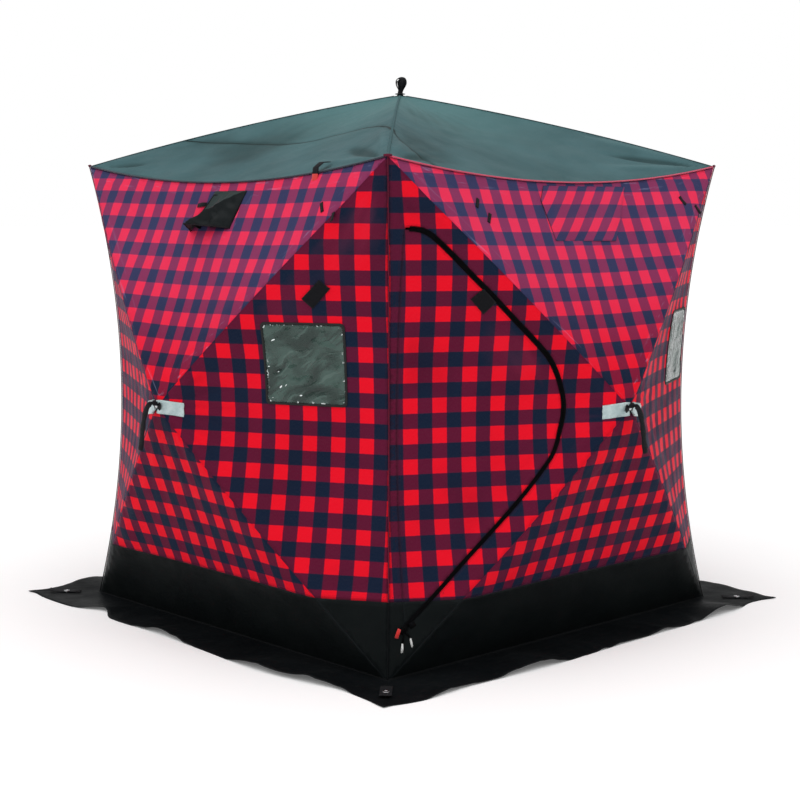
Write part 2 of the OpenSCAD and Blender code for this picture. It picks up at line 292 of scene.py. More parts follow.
# ---------------------------------------------------------------- finishes
@dataclass(frozen=True)
class CheckCloth:
    """Printed buffalo-check polyester with a slight sheen."""

    name: str = "check_cloth"
    red: tuple = (0.765, 0.003, 0.017)
    maroon: tuple = (0.104, 0.005, 0.028)
    navy: tuple = (0.004, 0.012, 0.033)
    check: float = 0.0529
    soft: float = 0.0016
    # The strength of a painted bluish sheen and glints; none at 0.
    fade: float = 0.0

    def make(self) -> bpy.types.Material:
        """Builds the finish; its cloth attribute holds across, up and distance to the seam."""
        look = Look(self.name)
        across, up, seam = look.split(look.attribute("cloth"))
        point = look.join(across, up, 0.0)
        stray = (look.noise(point, 55.0, 2.0) - 0.5) * 0.0022
        bands = []
        for value in (across, up):
            tri = (value + stray).fold(self.check)
            bands.append(tri.ramp(self.check / 2 - self.soft, self.check / 2 + self.soft))
        total = bands[0] + bands[1]
        colour = look.mix(total.clamp(), self.navy, self.maroon)
        colour = look.mix((total - 1.0).clamp(), colour, self.red)
        cloud = look.noise(point, 2.3, 4.0)
        if self.fade:
            # Painted sheen: a bluish-pink veil screened over the check, growing towards the roof.
            high = (up + (cloud - 0.5) * 0.25).ramp(0.02, 0.60) * self.fade
            colour = look.mix(high, colour, (0.15, 0.14, 0.38), "SCREEN")
            # Painted glints: broken bluish-white highlight streaks beside the seams and the pole lines.
            glint = look.noise(look.join(seam * 62.0, up * 13.0 + across * 8.0, 0.0), 1.0, 3.0).ramp(0.57, 0.72)
            colour = look.mix(glint * seam.ramp(0.012, 0.080, 0.36, 0.0), colour, (0.34, 0.34, 0.56))
        colour = look.mix(cloud.ramp(0.3, 0.75, 0.0, 0.22), colour, (0.30, 0.03, 0.10), "SOFT_LIGHT")
        grain = look.noise(look.scaled(point, (900.0, 140.0, 1.0)), 1.0, 2.0)
        colour = look.mix(grain.ramp(0.35, 0.8, 0.0, 0.014), colour, (0.75, 0.72, 0.78))
        stitch = self.stitches(look, across + up, seam)
        colour = look.mix(stitch * 0.55, colour, (0.05, 0.01, 0.02))
        edge = seam.ramp(0.0, 0.010, 0.45, 0.0)
        colour = look.mix(edge, colour, (0.03, 0.008, 0.014))
        # Painted shade in the fold valleys and painted highlight on the fold crests.
        colour = look.shaded(colour, (0.012, 0.003, 0.010), (0.50, 0.05, 0.12), 0.30)
        twill = ((across + up) * (2 * math.pi / 0.0023)).wave()
        crumple = look.noise(look.scaled(point, (13.0, 9.0, 1.0)), 1.0, 5.0, 0.62)
        height = crumple * 3.2 + grain * 0.12 + twill * 0.05 - stitch * 0.6
        look.bump(height, 0.34, 0.0022)
        rough = look.noise(point, 9.0, 3.0).ramp(0.3, 0.7, 0.50, 0.64)
        return look.finish(Base_Color=colour, Roughness=rough, Sheen_Weight=0.070,
                           Sheen_Roughness=0.30, Sheen_Tint=(0.72, 0.42, 1.0, 1.0), Specular_IOR_Level=0.04)

    @staticmethod
    def stitches(look: Look, along: Sock, seam: Sock) -> Sock:
        """Dashes of thread in two rows beside a seam.

        Args:
            look: the material.
            along: a coordinate that runs with the seam.
            seam: the distance to the seam.

        Returns:
            A mask of the dashes.
        """
        row = abs(abs(seam - 0.0095) - 0.0028).ramp(0.0, 0.0009, 1.0, 0.0)
        dash = along.fold(0.0034).ramp(0.0006, 0.0011)
        return row * dash


@dataclass(frozen=True)
class PlainCloth:
    """Plain coated polyester: the roof, the black band, the skirt and the vent hood."""

    name: str
    dark: tuple
    light: tuple
    rough: float = 0.6
    sheen: float = 0.02
    gloss: float = 0.10
    crumple: float = 1.0
    thread: tuple = (0.02, 0.02, 0.02)
    weave: float = 0.0022
    dust: float = 0.0
    # The share of painted light that makes the cloth lighter towards the peak.
    crown: float = 0.0

    def make(self) -> bpy.types.Material:
        """Builds the finish from its two tones, weave and crumples."""
        look = Look(self.name)
        across, up, seam = look.split(look.attribute("cloth"))
        point = look.join(across, up, 0.0)
        cloud = look.noise(point, 3.1, 5.0, 0.6)
        colour = look.mix(cloud.ramp(0.25, 0.75), self.dark, self.light)
        grain = look.noise(look.scaled(point, (160.0, 900.0, 1.0)), 1.0, 2.0)
        colour = look.mix(grain.ramp(0.4, 0.8, 0.0, 0.16), colour, self.light)
        # Painted light: the cloth is lighter towards the peak.
        if self.crown:
            near = ((across * across + up * up) ** 0.5).ramp(0.10, 0.80, self.crown, 0.0)
            colour = look.mix(near, colour, (0.098, 0.225, 0.225))
        if self.dust:
            worn = look.noise(point, 24.0, 6.0, 0.7).ramp(0.52, 0.74) * self.dust
            colour = look.mix(worn, colour, (0.20, 0.20, 0.19))
        stitch = CheckCloth.stitches(look, across + up, seam)
        colour = look.mix(stitch * 0.7, colour, self.thread)
        colour = look.mix(seam.ramp(0.0016, 0.0062, 1.0, 0.0), colour, self.thread)
        # Painted shade in the fold valleys, in the thread colour, and painted highlight on the crests, blue-green where
        # the cloth has a crown.
        colour = look.shaded(colour, self.thread, (0.13, 0.24, 0.25) if self.crown else self.light, 0.62)
        rip = (across * (2 * math.pi / self.weave)).wave() * (up * (2 * math.pi / self.weave)).wave()
        crumple = look.noise(look.scaled(point, (9.0, 12.0, 1.0)), 1.0, 6.0, 0.62)
        look.bump(crumple * (3.4 * self.crumple) + rip * 0.07 + grain * 0.1 - stitch * 0.6, 0.36, 0.0022)
        rough = look.noise(point, 7.0, 4.0).ramp(0.3, 0.7, self.rough - 0.08, self.rough + 0.08)
        return look.finish(Base_Color=colour, Roughness=rough, Sheen_Weight=self.sheen,
                           Sheen_Roughness=0.4, Specular_IOR_Level=self.gloss)


@dataclass(frozen=True)
class ClearVinyl:
    """Crinkled see-through window film."""

    name: str = "window_vinyl"

    def make(self) -> bpy.types.Material:
        """Builds the finish."""
        look = Look(self.name)
        across, up, seam = look.split(look.attribute("cloth"))
        point = look.join(across, up, 0.0)
        bend = look.noise(point, 7.0, 2.0)
        along = across * 0.86 + up * 0.50 + bend * 0.05
        over = up * 0.86 - across * 0.50 + bend * 0.09
        cloud = look.noise(look.join(along * 0.55, over, 0.0), 13.0, 3.0, 0.5)
        streak = look.noise(look.join(along * 7.0, over * 52.0, 0.0), 1.0, 3.0)
        cross = look.noise(look.join(over * 8.0, along * 60.0, 3.0), 1.0, 3.0)
        # Painted light on the film: patches of darker and lighter green for crinkles in shade and in light, dark
        # streaks for shade in the creases, pale streaks for highlights.
        colour = look.mix(cloud.ramp(0.38, 0.62), (0.012, 0.030, 0.024), (0.046, 0.088, 0.074))
        colour = look.mix(streak.ramp(0.56, 0.66) * 0.55, colour, (0.006, 0.012, 0.011))
        colour = look.mix(cross.ramp(0.62, 0.70) * 0.45, colour, (0.008, 0.014, 0.012))
        colour = look.mix(streak.ramp(0.42, 0.34) * 0.35, colour, (0.11, 0.17, 0.15))
        # Painted highlights: white specks where the crinkles catch the light, more of them along the binding.
        spark = look.noise(look.join(along * 22.0, over * 60.0, 0.0), 1.0, 1.0)
        lit = spark.ramp(0.735, 0.755) + seam.ramp(0.002, 0.012, 1.0, 0.0) * look.noise(point, 62.0, 2.0).ramp(0.60, 0.64)
        colour = look.mix(lit.clamp(), colour, (0.86, 0.92, 0.92))
        look.bump(cloud * 3.0 - streak * 1.2 - cross * 0.8, 0.5, 0.0042)
        return look.finish(Base_Color=colour, Roughness=cloud.ramp(0.3, 0.7, 0.10, 0.24), Alpha=(cloud * 0.2 + 0.78),
                           IOR=1.5, Specular_IOR_Level=0.42, Coat_Weight=0.12, Coat_Roughness=0.06)


@dataclass(frozen=True)
class Webbing:
    """Woven strap or tape with cross ribs."""

    name: str
    dark: tuple = (0.004, 0.004, 0.005)
    light: tuple = (0.018, 0.018, 0.021)
    rib: float = 0.0016
    rough: float = 0.62
    sheen: float = 0.02
    gloss: float = 0.08

    def make(self) -> bpy.types.Material:
        """Builds the finish on object coordinates."""
        look = Look(self.name)
        x, y, z = look.split(look.place())
        ribs = ((x + y * 0.9 + z * 1.1) * (2 * math.pi / self.rib)).wave()
        wear = look.noise(look.place(), 60.0, 5.0, 0.65)
        colour = look.mix((ribs * 0.5 + 0.5) * 0.5 + wear * 0.4, self.dark, self.light)
        look.bump(ribs * 0.4 + wear * 0.8, 0.5, 0.0009)
        return look.finish(Base_Color=colour, Roughness=wear.ramp(0.3, 0.7, self.rough - 0.1, self.rough + 0.1),
                           Sheen_Weight=self.sheen, Specular_IOR_Level=self.gloss)


@dataclass(frozen=True)
class SilverTape:
    """Silver grey reflective tape with a fine honeycomb."""

    name: str = "reflective_tape"

    def make(self) -> bpy.types.Material:
        """Builds the finish."""
        look = Look(self.name)
        across, up, seam = look.split(look.attribute("cloth"))
        point = look.join(across, up, 0.0)
        cells = look.node("ShaderNodeTexVoronoi", {"feature": "DISTANCE_TO_EDGE"}, {"Vector": point, "Scale": 190.0}, "Distance")
        wall = cells.ramp(0.02, 0.09, 1.0, 0.0)
        cloud = look.noise(point, 26.0, 4.0)
        colour = look.mix(cloud.ramp(0.3, 0.7), (0.36, 0.47, 0.48), (0.52, 0.62, 0.62))
        colour = look.mix(wall * 0.25, colour, (0.22, 0.30, 0.31))
        look.bump(cloud * 1.4 - wall * 0.5, 0.4, 0.0012)
        return look.finish(Base_Color=colour, Roughness=cloud.ramp(0.3, 0.7, 0.28, 0.42), Metallic=0.35,
                           Coat_Weight=0.3, Coat_Roughness=0.2)


@dataclass(frozen=True)
class HardSurface:
    """Moulded plastic, glass-fibre rod or plated metal."""

    name: str
    dark: tuple
    light: tuple
    rough: float = 0.4
    metal: float = 0.0
    grain: float = 220.0
    coat: float = 0.0
    gloss: float = 0.25

    def make(self) -> bpy.types.Material:
        """Builds the finish with fine grain, scuffs and uneven gloss."""
        look = Look(self.name)
        place = look.place()
        fine = look.noise(place, self.grain, 3.0)
        scuff = look.noise(place, 34.0, 6.0, 0.7)
        colour = look.mix(scuff.ramp(0.38, 0.72), self.dark, self.light)
        look.bump(fine * 0.6 + scuff * 0.5, 0.35, 0.0006)
        return look.finish(Base_Color=colour, Roughness=scuff.ramp(0.3, 0.75, self.rough - 0.1, self.rough + 0.14),
                           Metallic=self.metal, Coat_Weight=self.coat, Coat_Roughness=0.25,
                           Specular_IOR_Level=0.5 if self.metal else self.gloss)


@dataclass(frozen=True)
class HookPad:
    """Hook-and-loop pad: matt black with a fuzzy pile."""

    name: str = "hook_loop"

    def make(self) -> bpy.types.Material:
        """Builds the finish."""
        look = Look(self.name)
        across, up, seam = look.split(look.attribute("cloth"))
        point = look.join(across, up, 0.0)
        pile = look.noise(point, 900.0, 3.0, 0.7)
        clump = look.noise(point, 130.0, 4.0)
        colour = look.mix(pile * 0.6 + clump * 0.3, (0.002, 0.002, 0.003), (0.012, 0.012, 0.014))
        edge = seam.ramp(0.0, 0.004, 0.6, 0.0)
        colour = look.mix(edge, colour, (0.012, 0.012, 0.014))
        look.bump(pile + clump * 0.8, 0.8, 0.0014)
        return look.finish(Base_Color=colour, Roughness=0.88, Sheen_Weight=0.03, Sheen_Roughness=0.5,
                           Specular_IOR_Level=0.1)


class Finishes:
    """Every material of the hut, each made once."""

    def __init__(self) -> None:
        """Makes the materials."""
        self.check = CheckCloth().make()
        # A lit copy of the check for the upper facets and the vent flap: a lighter maroon, with painted sheen and
        # glints.
        self.check_faded = CheckCloth("check_cloth_faded", maroon=(0.205, 0.005, 0.030), fade=0.20).make()
        # The roof's crown paints it lighter towards the peak.
        self.roof = PlainCloth("roof_cloth", (0.036, 0.090, 0.098), (0.056, 0.128, 0.140), 0.55, 0.03, 0.12, 1.3,
                               (0.003, 0.018, 0.018), crown=0.5).make()
        self.black = PlainCloth("black_cloth", (0.0018, 0.0030, 0.0034), (0.0050, 0.0068, 0.0070), 0.5, 0.012, 0.05, 1.1,
                                (0.007, 0.009, 0.010)).make()
        self.skirt = PlainCloth("skirt_cloth", (0.0014, 0.0022, 0.0028), (0.0042, 0.0054, 0.0064), 0.46, 0.010, 0.06, 1.5,
                                (0.007, 0.009, 0.010), dust=0.03).make()
        self.lining = PlainCloth("lining_cloth", (0.020, 0.023, 0.025), (0.040, 0.044, 0.046), 0.6, 0.02, 0.1, 0.8).make()
        # The hood's cloth in two copies, painted light: a lighter one for its lit side and a darker one for its shaded
        # side.
        self.hood = PlainCloth("hood_cloth", (0.011, 0.022, 0.021), (0.026, 0.044, 0.042), 0.45, 0.02, 0.1, 1.0).make()
        self.hood_dark = PlainCloth("hood_shade", (0.0030, 0.0050, 0.0056), (0.0090, 0.0125, 0.0135), 0.42, 0.02, 0.12,
                                    1.6).make()
        self.binding = PlainCloth("window_binding", (0.003, 0.004, 0.005), (0.010, 0.011, 0.013), 0.55, 0.02, 0.1, 0.3).make()
        self.vinyl = ClearVinyl().make()
        self.roof_seam = Webbing("roof_seam", (0.040, 0.094, 0.102), (0.056, 0.124, 0.134), 0.0018, 0.6).make()
        self.webbing = Webbing("black_webbing").make()
        self.black_tape = Webbing("black_tape", (0.002, 0.0025, 0.003), (0.007, 0.008, 0.009), 0.0016, 0.6, 0.01).make()
        self.tape = Webbing("zip_tape", (0.001, 0.001, 0.001), (0.0045, 0.0040, 0.0050), 0.0012, 0.7, 0.004, 0.03).make()
        self.coil = HardSurface("zip_coil", (0.001, 0.001, 0.001), (0.004, 0.004, 0.005), 0.7, 0.0, 400.0,
                                 gloss=0.04).make()
        self.navy_piping = Webbing("navy_piping", (0.006, 0.010, 0.022), (0.022, 0.030, 0.055), 0.0020, 0.5, 0.3).make()
        self.red_piping = Webbing("red_piping", (0.42, 0.02, 0.07), (0.72, 0.09, 0.17), 0.0020, 0.5, 0.3).make()
        self.welt = Webbing("corner_welt", (0.07, 0.005, 0.016), (0.17, 0.016, 0.044), 0.0020, 0.6, 0.02).make()
        self.silver = SilverTape().make()
        self.pad = HookPad().make()
        self.plastic = HardSurface("hub_plastic", (0.004, 0.004, 0.005), (0.014, 0.014, 0.016), 0.45).make()
        self.rod = HardSurface("pole_fibreglass", (0.020, 0.021, 0.024), (0.055, 0.057, 0.060), 0.34, 0.0, 500.0, 0.3).make()
        self.steel = HardSurface("plated_steel", (0.50, 0.51, 0.52), (0.74, 0.75, 0.76), 0.28, 1.0, 260.0).make()
        self.red_tab = Webbing("red_tab", (0.50, 0.010, 0.012), (0.80, 0.05, 0.04), 0.0016, 0.5, 0.2).make()
        self.white_cord = Webbing("white_cord", (0.55, 0.55, 0.54), (0.86, 0.86, 0.85), 0.0016, 0.6, 0.2).make()


# ---------------------------------------------------------------- shape of the cloth
class Wall(Enum):
    """The four walls: name stem and quarter turns from the front wall."""

    FRONT = ("front", 0)
    DOOR = ("door_wall", 1)
    BACK = ("back", 2)
    LEFT = ("left", 3)

    @property
    def stem(self) -> str:
        """The start of the wall's node names."""
        return self.value[0]

    def turned(self, points: Array) -> Array:
        """Points of the front wall's place, turned to this wall.

        Args:
            points: an array of points, one a row.

        Returns:
            The turned points.
        """
        out = np.array(points, float).reshape(-1, 3)
        for _ in range(self.value[1]):
            out = np.stack([-out[:, 1], out[:, 0], out[:, 2]], 1)
        return out


class Part(Enum):
    """The facets of a wall, with the roof's panel."""

    UPPER = "upper"
    LEFT = "left"
    RIGHT = "right"
    LOWER = "lower"
    ROOF = "roof"


@dataclass(frozen=True)
class HutShape:
    """The hut's sizes in metres, as the CAD part has them."""

    half: float = 0.900
    base_half: float = 0.896
    eave: float = 1.783
    apex: float = 2.071
    hub_out: float = 1.224
    hub_z: float = 0.898
    seam_bow: float = 0.080
    edge_sag: float = 0.076
    pole_bow: float = 0.020
    roof_bow: float = 0.020
    band: float = 0.263
    hub_gap: float = 0.030
    roof_gap: float = 0.012
    skirt: float = 0.222
    ridge: float = 0.25
    ease: float = 0.085
    tip: float = 0.20
    tip_ease: float = 0.095

    def seam_r(self, z: Array) -> Array:
        """Half the plan's width at the corner seam, by height."""
        t = z / self.eave
        return self.base_half + (self.half - self.base_half) * t - 4 * self.seam_bow * t * (1 - t)

    def band_share(self, z: Array) -> Array:
        """The share of the way from hub to seam at which a side facet meets the band."""
        z = np.asarray(z, float)
        return np.where(z < self.band, (self.hub_z - self.band) / (self.hub_z - np.minimum(z, self.band)), 1.0)


class Facet:
    """One cloth panel: a cone from a hub to an edge curve, with flat cloth coordinates."""

    def __init__(self, shape: HutShape, part: Part) -> None:
        """Sets the hub and the axes of the cloth.

        Args:
            shape: the hut's sizes.
            part: which facet of the front wall it is.
        """
        self.shape, self.part = shape, part
        self.sign = {Part.LEFT: -1.0, Part.RIGHT: 1.0}.get(part, 0.0)
        roof = part is Part.ROOF
        self.hub = np.array([0, 0, shape.apex]) if roof else np.array([0, -shape.hub_out, shape.hub_z])
        corners = self.edge(np.array([0.0, 1.0]))
        across = corners[1] - corners[0]
        if self.sign:
            across = corners[0] - self.hub
            across = np.array([across[0], across[1], 0.0]) * self.sign
        self.u = across / np.linalg.norm(across)
        away = corners[0] - self.hub
        if self.sign:
            self.n = np.array([self.sign * abs(self.u[1]), -abs(self.u[0]), 0.0])
        else:
            self.n = np.cross(self.u, away)
            self.n /= np.linalg.norm(self.n)
            if self.n @ (np.array([0, -1, 0.2]) if not roof else np.array([0, 0, 1])) < 0:
                self.n = -self.n
        self.v = np.cross(self.n, self.u)
        a, t = np.meshgrid(np.linspace(0, 1, 26), np.linspace(0.02, 1.05, 26))
        self.table = (a.ravel(), t.ravel(), self.flat(self.at(a.ravel(), t.ravel())))

    def edge(self, a: Array) -> Array:
        """Points of the far edge, by a share from 0 to 1."""
        s = self.shape
        x = 2 * a - 1
        if self.sign:
            z = a * s.eave
            r = s.seam_r(z)
            return np.stack([self.sign * r, -r, z], -1)
        if self.part is Part.LOWER:
            return np.stack([s.base_half * x, -s.base_half + 0 * a, 0 * a], -1)
        return np.stack([s.half * x, -s.half + 0 * a, s.eave - 4 * s.edge_sag * a * (1 - a)], -1)

    def at(self, a: Array, t: Array) -> Array:
        """Points of the smooth cloth.

        Args:
            a: shares along the far edge.
            t: shares of the way from the hub to that edge.

        Returns:
            The points, in the front wall's place.
        """
        a, t = np.asarray(a, float), np.asarray(t, float)
        s = self.shape
        out = self.hub + t[..., None] * (self.edge(a) - self.hub)
        bow = 4 * (2 * a - 1) ** 2 * t * (1 - t)
        if self.part is Part.ROOF:
            out[..., 2] += s.roof_bow * bow
            return out
        out[..., 1] -= s.pole_bow * bow
        return self.eased(out)

    def eased(self, points: Array) -> Array:
        """Wall points with the ridges over the poles rounded off, as stretched cloth runs over them."""
        s = self.shape
        x, z = np.abs(points[..., 0]), points[..., 2] - s.hub_z
        near = np.full(x.shape, 9.0)
        for dx, dz in ((s.half, s.eave - s.hub_z), (s.base_half, -s.hub_z)):
            length = math.hypot(dx, dz)
            along = np.clip((x * dx + z * dz) / length, 0, length)
            near = np.minimum(near, np.hypot(x - along * dx / length, z - along * dz / length))
        out = 0.5 * s.ridge * s.ease * np.clip(1 - near / s.ease, 0, 1) ** 2
        out = out + 0.5 * s.tip * s.tip_ease * np.clip(1 - np.hypot(x, z) / s.tip_ease, 0, 1) ** 2
        edge = np.minimum(s.half - x, np.minimum(s.eave - s.hub_z - z, z + s.hub_z))
        return points + np.stack([0 * x, out * np.clip(edge / 0.14, 0, 1), 0 * x], -1)

    def flat(self, points: Array) -> Array:
        """Cloth coordinates, across and up, of points."""
        return np.stack([(points - self.hub) @ self.u, (points - self.hub) @ self.v], -1)

    def lift(self, uv: Array) -> Array:
        """Points of the smooth cloth at cloth coordinates, found by Newton's method.

        Args:
            uv: across and up, one a row.

        Returns:
            The points, in the front wall's place.
        """
        uv = np.asarray(uv, float)
        ta, tt, tuv = self.table
        best = np.empty(len(uv), int)
        for i in range(0, len(uv), 2000):
            best[i:i + 2000] = ((uv[i:i + 2000, None] - tuv[None]) ** 2).sum(-1).argmin(1)
        a, t, step = ta[best].copy(), tt[best].copy(), 1e-5
        for _ in range(12):
            here = self.flat(self.at(a, t))
            da = (self.flat(self.at(a + step, t)) - here) / step
            dt = (self.flat(self.at(a, t + step)) - here) / step
            miss = uv - here
            det = da[:, 0] * dt[:, 1] - da[:, 1] * dt[:, 0]
            det = np.where(abs(det) < 1e-9, 1e-9, det)
            a += np.clip((miss[:, 0] * dt[:, 1] - miss[:, 1] * dt[:, 0]) / det, -0.1, 0.1)
            t += np.clip((miss[:, 1] * da[:, 0] - miss[:, 0] * da[:, 1]) / det, -0.1, 0.1)
        return self.at(a, t)


def inside(points: Array, loop: Array) -> Array:
    """Which points lie in a closed loop.

    Args:
        points: flat points, one a row.
        loop: the loop's corners.

    Returns:
        One truth value a point.
    """
    x, y = points[:, 0][:, None], points[:, 1][:, None]
    x0, y0 = loop[:, 0][None], loop[:, 1][None]
    x1, y1 = np.roll(loop[:, 0], -1)[None], np.roll(loop[:, 1], -1)[None]
    crosses = (y0 > y) != (y1 > y)
    with np.errstate(divide="ignore", invalid="ignore"):
        at = x0 + (y - y0) * (x1 - x0) / np.where(y1 == y0, 1e-12, y1 - y0)
    return ((crosses & (x < at)).sum(1) % 2) == 1


def far_from(points: Array, loops: Sequence[Array]) -> Array:
    """The distance from each point to the nearest of some closed loops."""
    best = np.full(len(points), 9.0)
    for loop in loops:
        a, b = loop, np.roll(loop, -1, 0)
        d = b - a
        length = np.maximum((d ** 2).sum(1), 1e-12)
        for i in range(0, len(points), 1500):
            p = points[i:i + 1500]
            t = np.clip(((p[:, None] - a[None]) * d[None]).sum(-1) / length, 0, 1)
            near = a[None] + t[..., None] * d[None]
            best[i:i + 1500] = np.minimum(best[i:i + 1500], np.sqrt(((p[:, None] - near) ** 2).sum(-1)).min(1))
    return best


def spaced(points: Sequence, gap: float, closed: bool = True) -> Array:
    """A path cut into steps of about a given length.

    Args:
        points: the path's corners.
        gap: the step.
        closed: joins the last corner to the first.

    Returns:
        The new points; a closed path doesn't repeat its first.
    """
    path = np.array(points, float)
    if closed:
        path = np.vstack([path, path[:1]])
    out = []
    for a, b in zip(path[:-1], path[1:]):
        n = max(1, int(round(np.linalg.norm(b - a) / gap)))
        out += [a + (b - a) * k / n for k in range(n)]
    if not closed:
        out.append(path[-1])
    return np.array(out)


def smooth_path(points: Sequence, gap: float) -> Array:
    """A smooth open curve through points, cut into even steps."""
    p = np.array(points, float)
    p = np.vstack([2 * p[0] - p[1], p, 2 * p[-1] - p[-2]])
    out = []
    for k in range(1, len(p) - 2):
        for t in np.linspace(0, 1, 12, endpoint=False):
            a, b, c, d = p[k - 1], p[k], p[k + 1], p[k + 2]
            out.append(0.5 * (2 * b + (c - a) * t + (2 * a - 5 * b + 4 * c - d) * t * t + (3 * b - a - 3 * c + d) * t ** 3))
    out.append(p[-2])
    fine = np.array(out)
    run = np.concatenate([[0], np.cumsum(np.linalg.norm(np.diff(fine, axis=0), axis=1))])
    n = max(2, int(round(run[-1] / gap)) + 1)
    at = np.linspace(0, run[-1], n)
    return np.stack([np.interp(at, run, fine[:, k]) for k in range(fine.shape[1])], 1)


def shifted(path: Array, by: float, closed: bool = False) -> Array:
    """A flat path moved sideways, to its right when positive."""
    if closed:
        d = np.roll(path, -1, 0) - np.roll(path, 1, 0)
    else:
        d = np.gradient(path, axis=0)
    d /= np.maximum(np.linalg.norm(d, axis=1, keepdims=True), 1e-9)
    return path + by * np.stack([d[:, 1], -d[:, 0]], 1)


def ripple(points: Array, size: float, seed: int) -> Array:
    """Smooth noise from about -1 to 1 over flat points, with a given wave size."""
    out = np.array([noise.noise(Vector((p[0] / size, p[1] / size, seed * 7.31))) for p in points])
    return out * 1.6


# ---------------------------------------------------------------- mesh helpers
def mesh_object(name: str, points: Array, faces: list, materials: Sequence, which: Optional[Sequence] = None,
                cloth: Optional[Array] = None, smooth: bool = True) -> bpy.types.Object:
    """Makes a mesh object in the scene.

    Args:
        name: the object's name.
        points: the vertices.
        faces: vertex numbers of each face.
        materials: the materials, one a slot.
        which: each face's slot.
        cloth: the cloth attributes of each vertex: across, up, distance to a seam and, if known, height of fold.
        smooth: shades it smooth.

    Returns:
        The object.
    """
    mesh = bpy.data.meshes.new(name)
    mesh.from_pydata(np.asarray(points, float).tolist(), [], [tuple(int(i) for i in f) for f in faces])
    for material in materials:
        mesh.materials.append(material)
    if which is not None:
        mesh.polygons.foreach_set("material_index", np.array(which, np.int32))
    mesh.polygons.foreach_set("use_smooth", np.full(len(mesh.polygons), smooth))
    if cloth is not None:
        made = mesh.attributes.new("cloth", "FLOAT_VECTOR", "POINT")
        made.data.foreach_set("vector", np.asarray(cloth[:, :3], np.float32).ravel())
        if cloth.shape[1] == 4:
            made = mesh.attributes.new("fold", "FLOAT", "POINT")
            made.data.foreach_set("value", np.asarray(cloth[:, 3], np.float32))
    mesh.validate()
    mesh.update()
    made_object = bpy.data.objects.new(name, mesh)
    bpy.context.scene.collection.objects.link(made_object)
    return made_object


def merged(name: str, parts: Sequence[bpy.types.Object]) -> bpy.types.Object:
    """Joins mesh objects into one and names it."""
    bpy.ops.object.select_all(action="DESELECT")
    for part in parts:
        part.select_set(True)
    bpy.context.view_layer.objects.active = parts[0]
    if len(parts) > 1:
        bpy.ops.object.join()
    made = bpy.context.view_layer.objects.active
    made.name = made.data.name = name
    made.select_set(False)
    return made


def tube(path: Array, radius: object, sides: int = 8, flat: float = 1.0, up: Optional[Vector] = None,
         ends: bool = True) -> tuple[Array, list]:
    """A round or flattened tube along a path.

    Args:
        path: its points.
        radius: one radius, or one a point.
        sides: corners of its section.
        flat: thickness over width of its section.
        up: the direction of the thickness, where the section isn't round.
        ends: closes both ends.

    Returns:
        Its points and faces.
    """
    path = np.asarray(path, float)
    radii = np.broadcast_to(np.asarray(radius, float), (len(path),))
    d = np.gradient(path, axis=0)
    d /= np.maximum(np.linalg.norm(d, axis=1, keepdims=True), 1e-9)
    side = np.cross(d[0], up if up is not None else (0.21, 0.33, 0.92))
    if np.linalg.norm(side) < 1e-6:
        side = np.cross(d[0], (1.0, 0.1, 0.0))
    points, faces = [], []
    for k, (p, r, w) in enumerate(zip(path, radii, d)):
        side = np.cross(w, up) if up is not None else side - (side @ w) * w
        side = side / max(np.linalg.norm(side), 1e-9)
        lift = np.cross(side, w)
        for j in range(sides):
            a = 2 * math.pi * j / sides
            points.append(p + r * (math.cos(a) * side + math.sin(a) * flat * lift))
    for k in range(len(path) - 1):
        for j in range(sides):
            a, b = k * sides + j, k * sides + (j + 1) % sides
            faces.append((a, b, b + sides, a + sides))
    if ends:
        faces.append(tuple(range(sides - 1, -1, -1)))
        faces.append(tuple(range((len(path) - 1) * sides, len(path) * sides)))
    return np.array(points), faces


def stacked(pieces: Sequence[tuple[Array, list]]) -> tuple[Array, list]:
    """Several point and face lists as one."""
    points, faces, base = [], [], 0
    for p, f in pieces:
        points.append(np.asarray(p, float))
        faces += [tuple(i + base for i in face) for face in f]
        base += len(p)
    return np.vstack(points), faces


def lathe(profile: Sequence[tuple[float, float]], centre: Vector, axis: Vector, sides: int = 40) -> tuple[Array, list]:
    """A turned shape.

    Args:
        profile: radius and height pairs, from its low end to its high end.
        centre: the point at height 0.
        axis: the direction of height.
        sides: corners round it.

    Returns:
        Its points and faces.
    """
    turn = Vector(axis).to_track_quat("Z", "Y").to_matrix()
    points, faces = [], []
    for r, h in profile:
        for j in range(sides):
            a = 2 * math.pi * j / sides
            points.append(Vector(centre) + turn @ Vector((r * math.cos(a), r * math.sin(a), h)))
    for k in range(len(profile) - 1):
        for j in range(sides):
            a, b = k * sides + j, k * sides + (j + 1) % sides
            faces.append((a, b, b + sides, a + sides))
    faces.append(tuple(range(sides - 1, -1, -1)))
    faces.append(tuple(range((len(profile) - 1) * sides, len(profile) * sides)))
    return np.array([tuple(p) for p in points]), faces


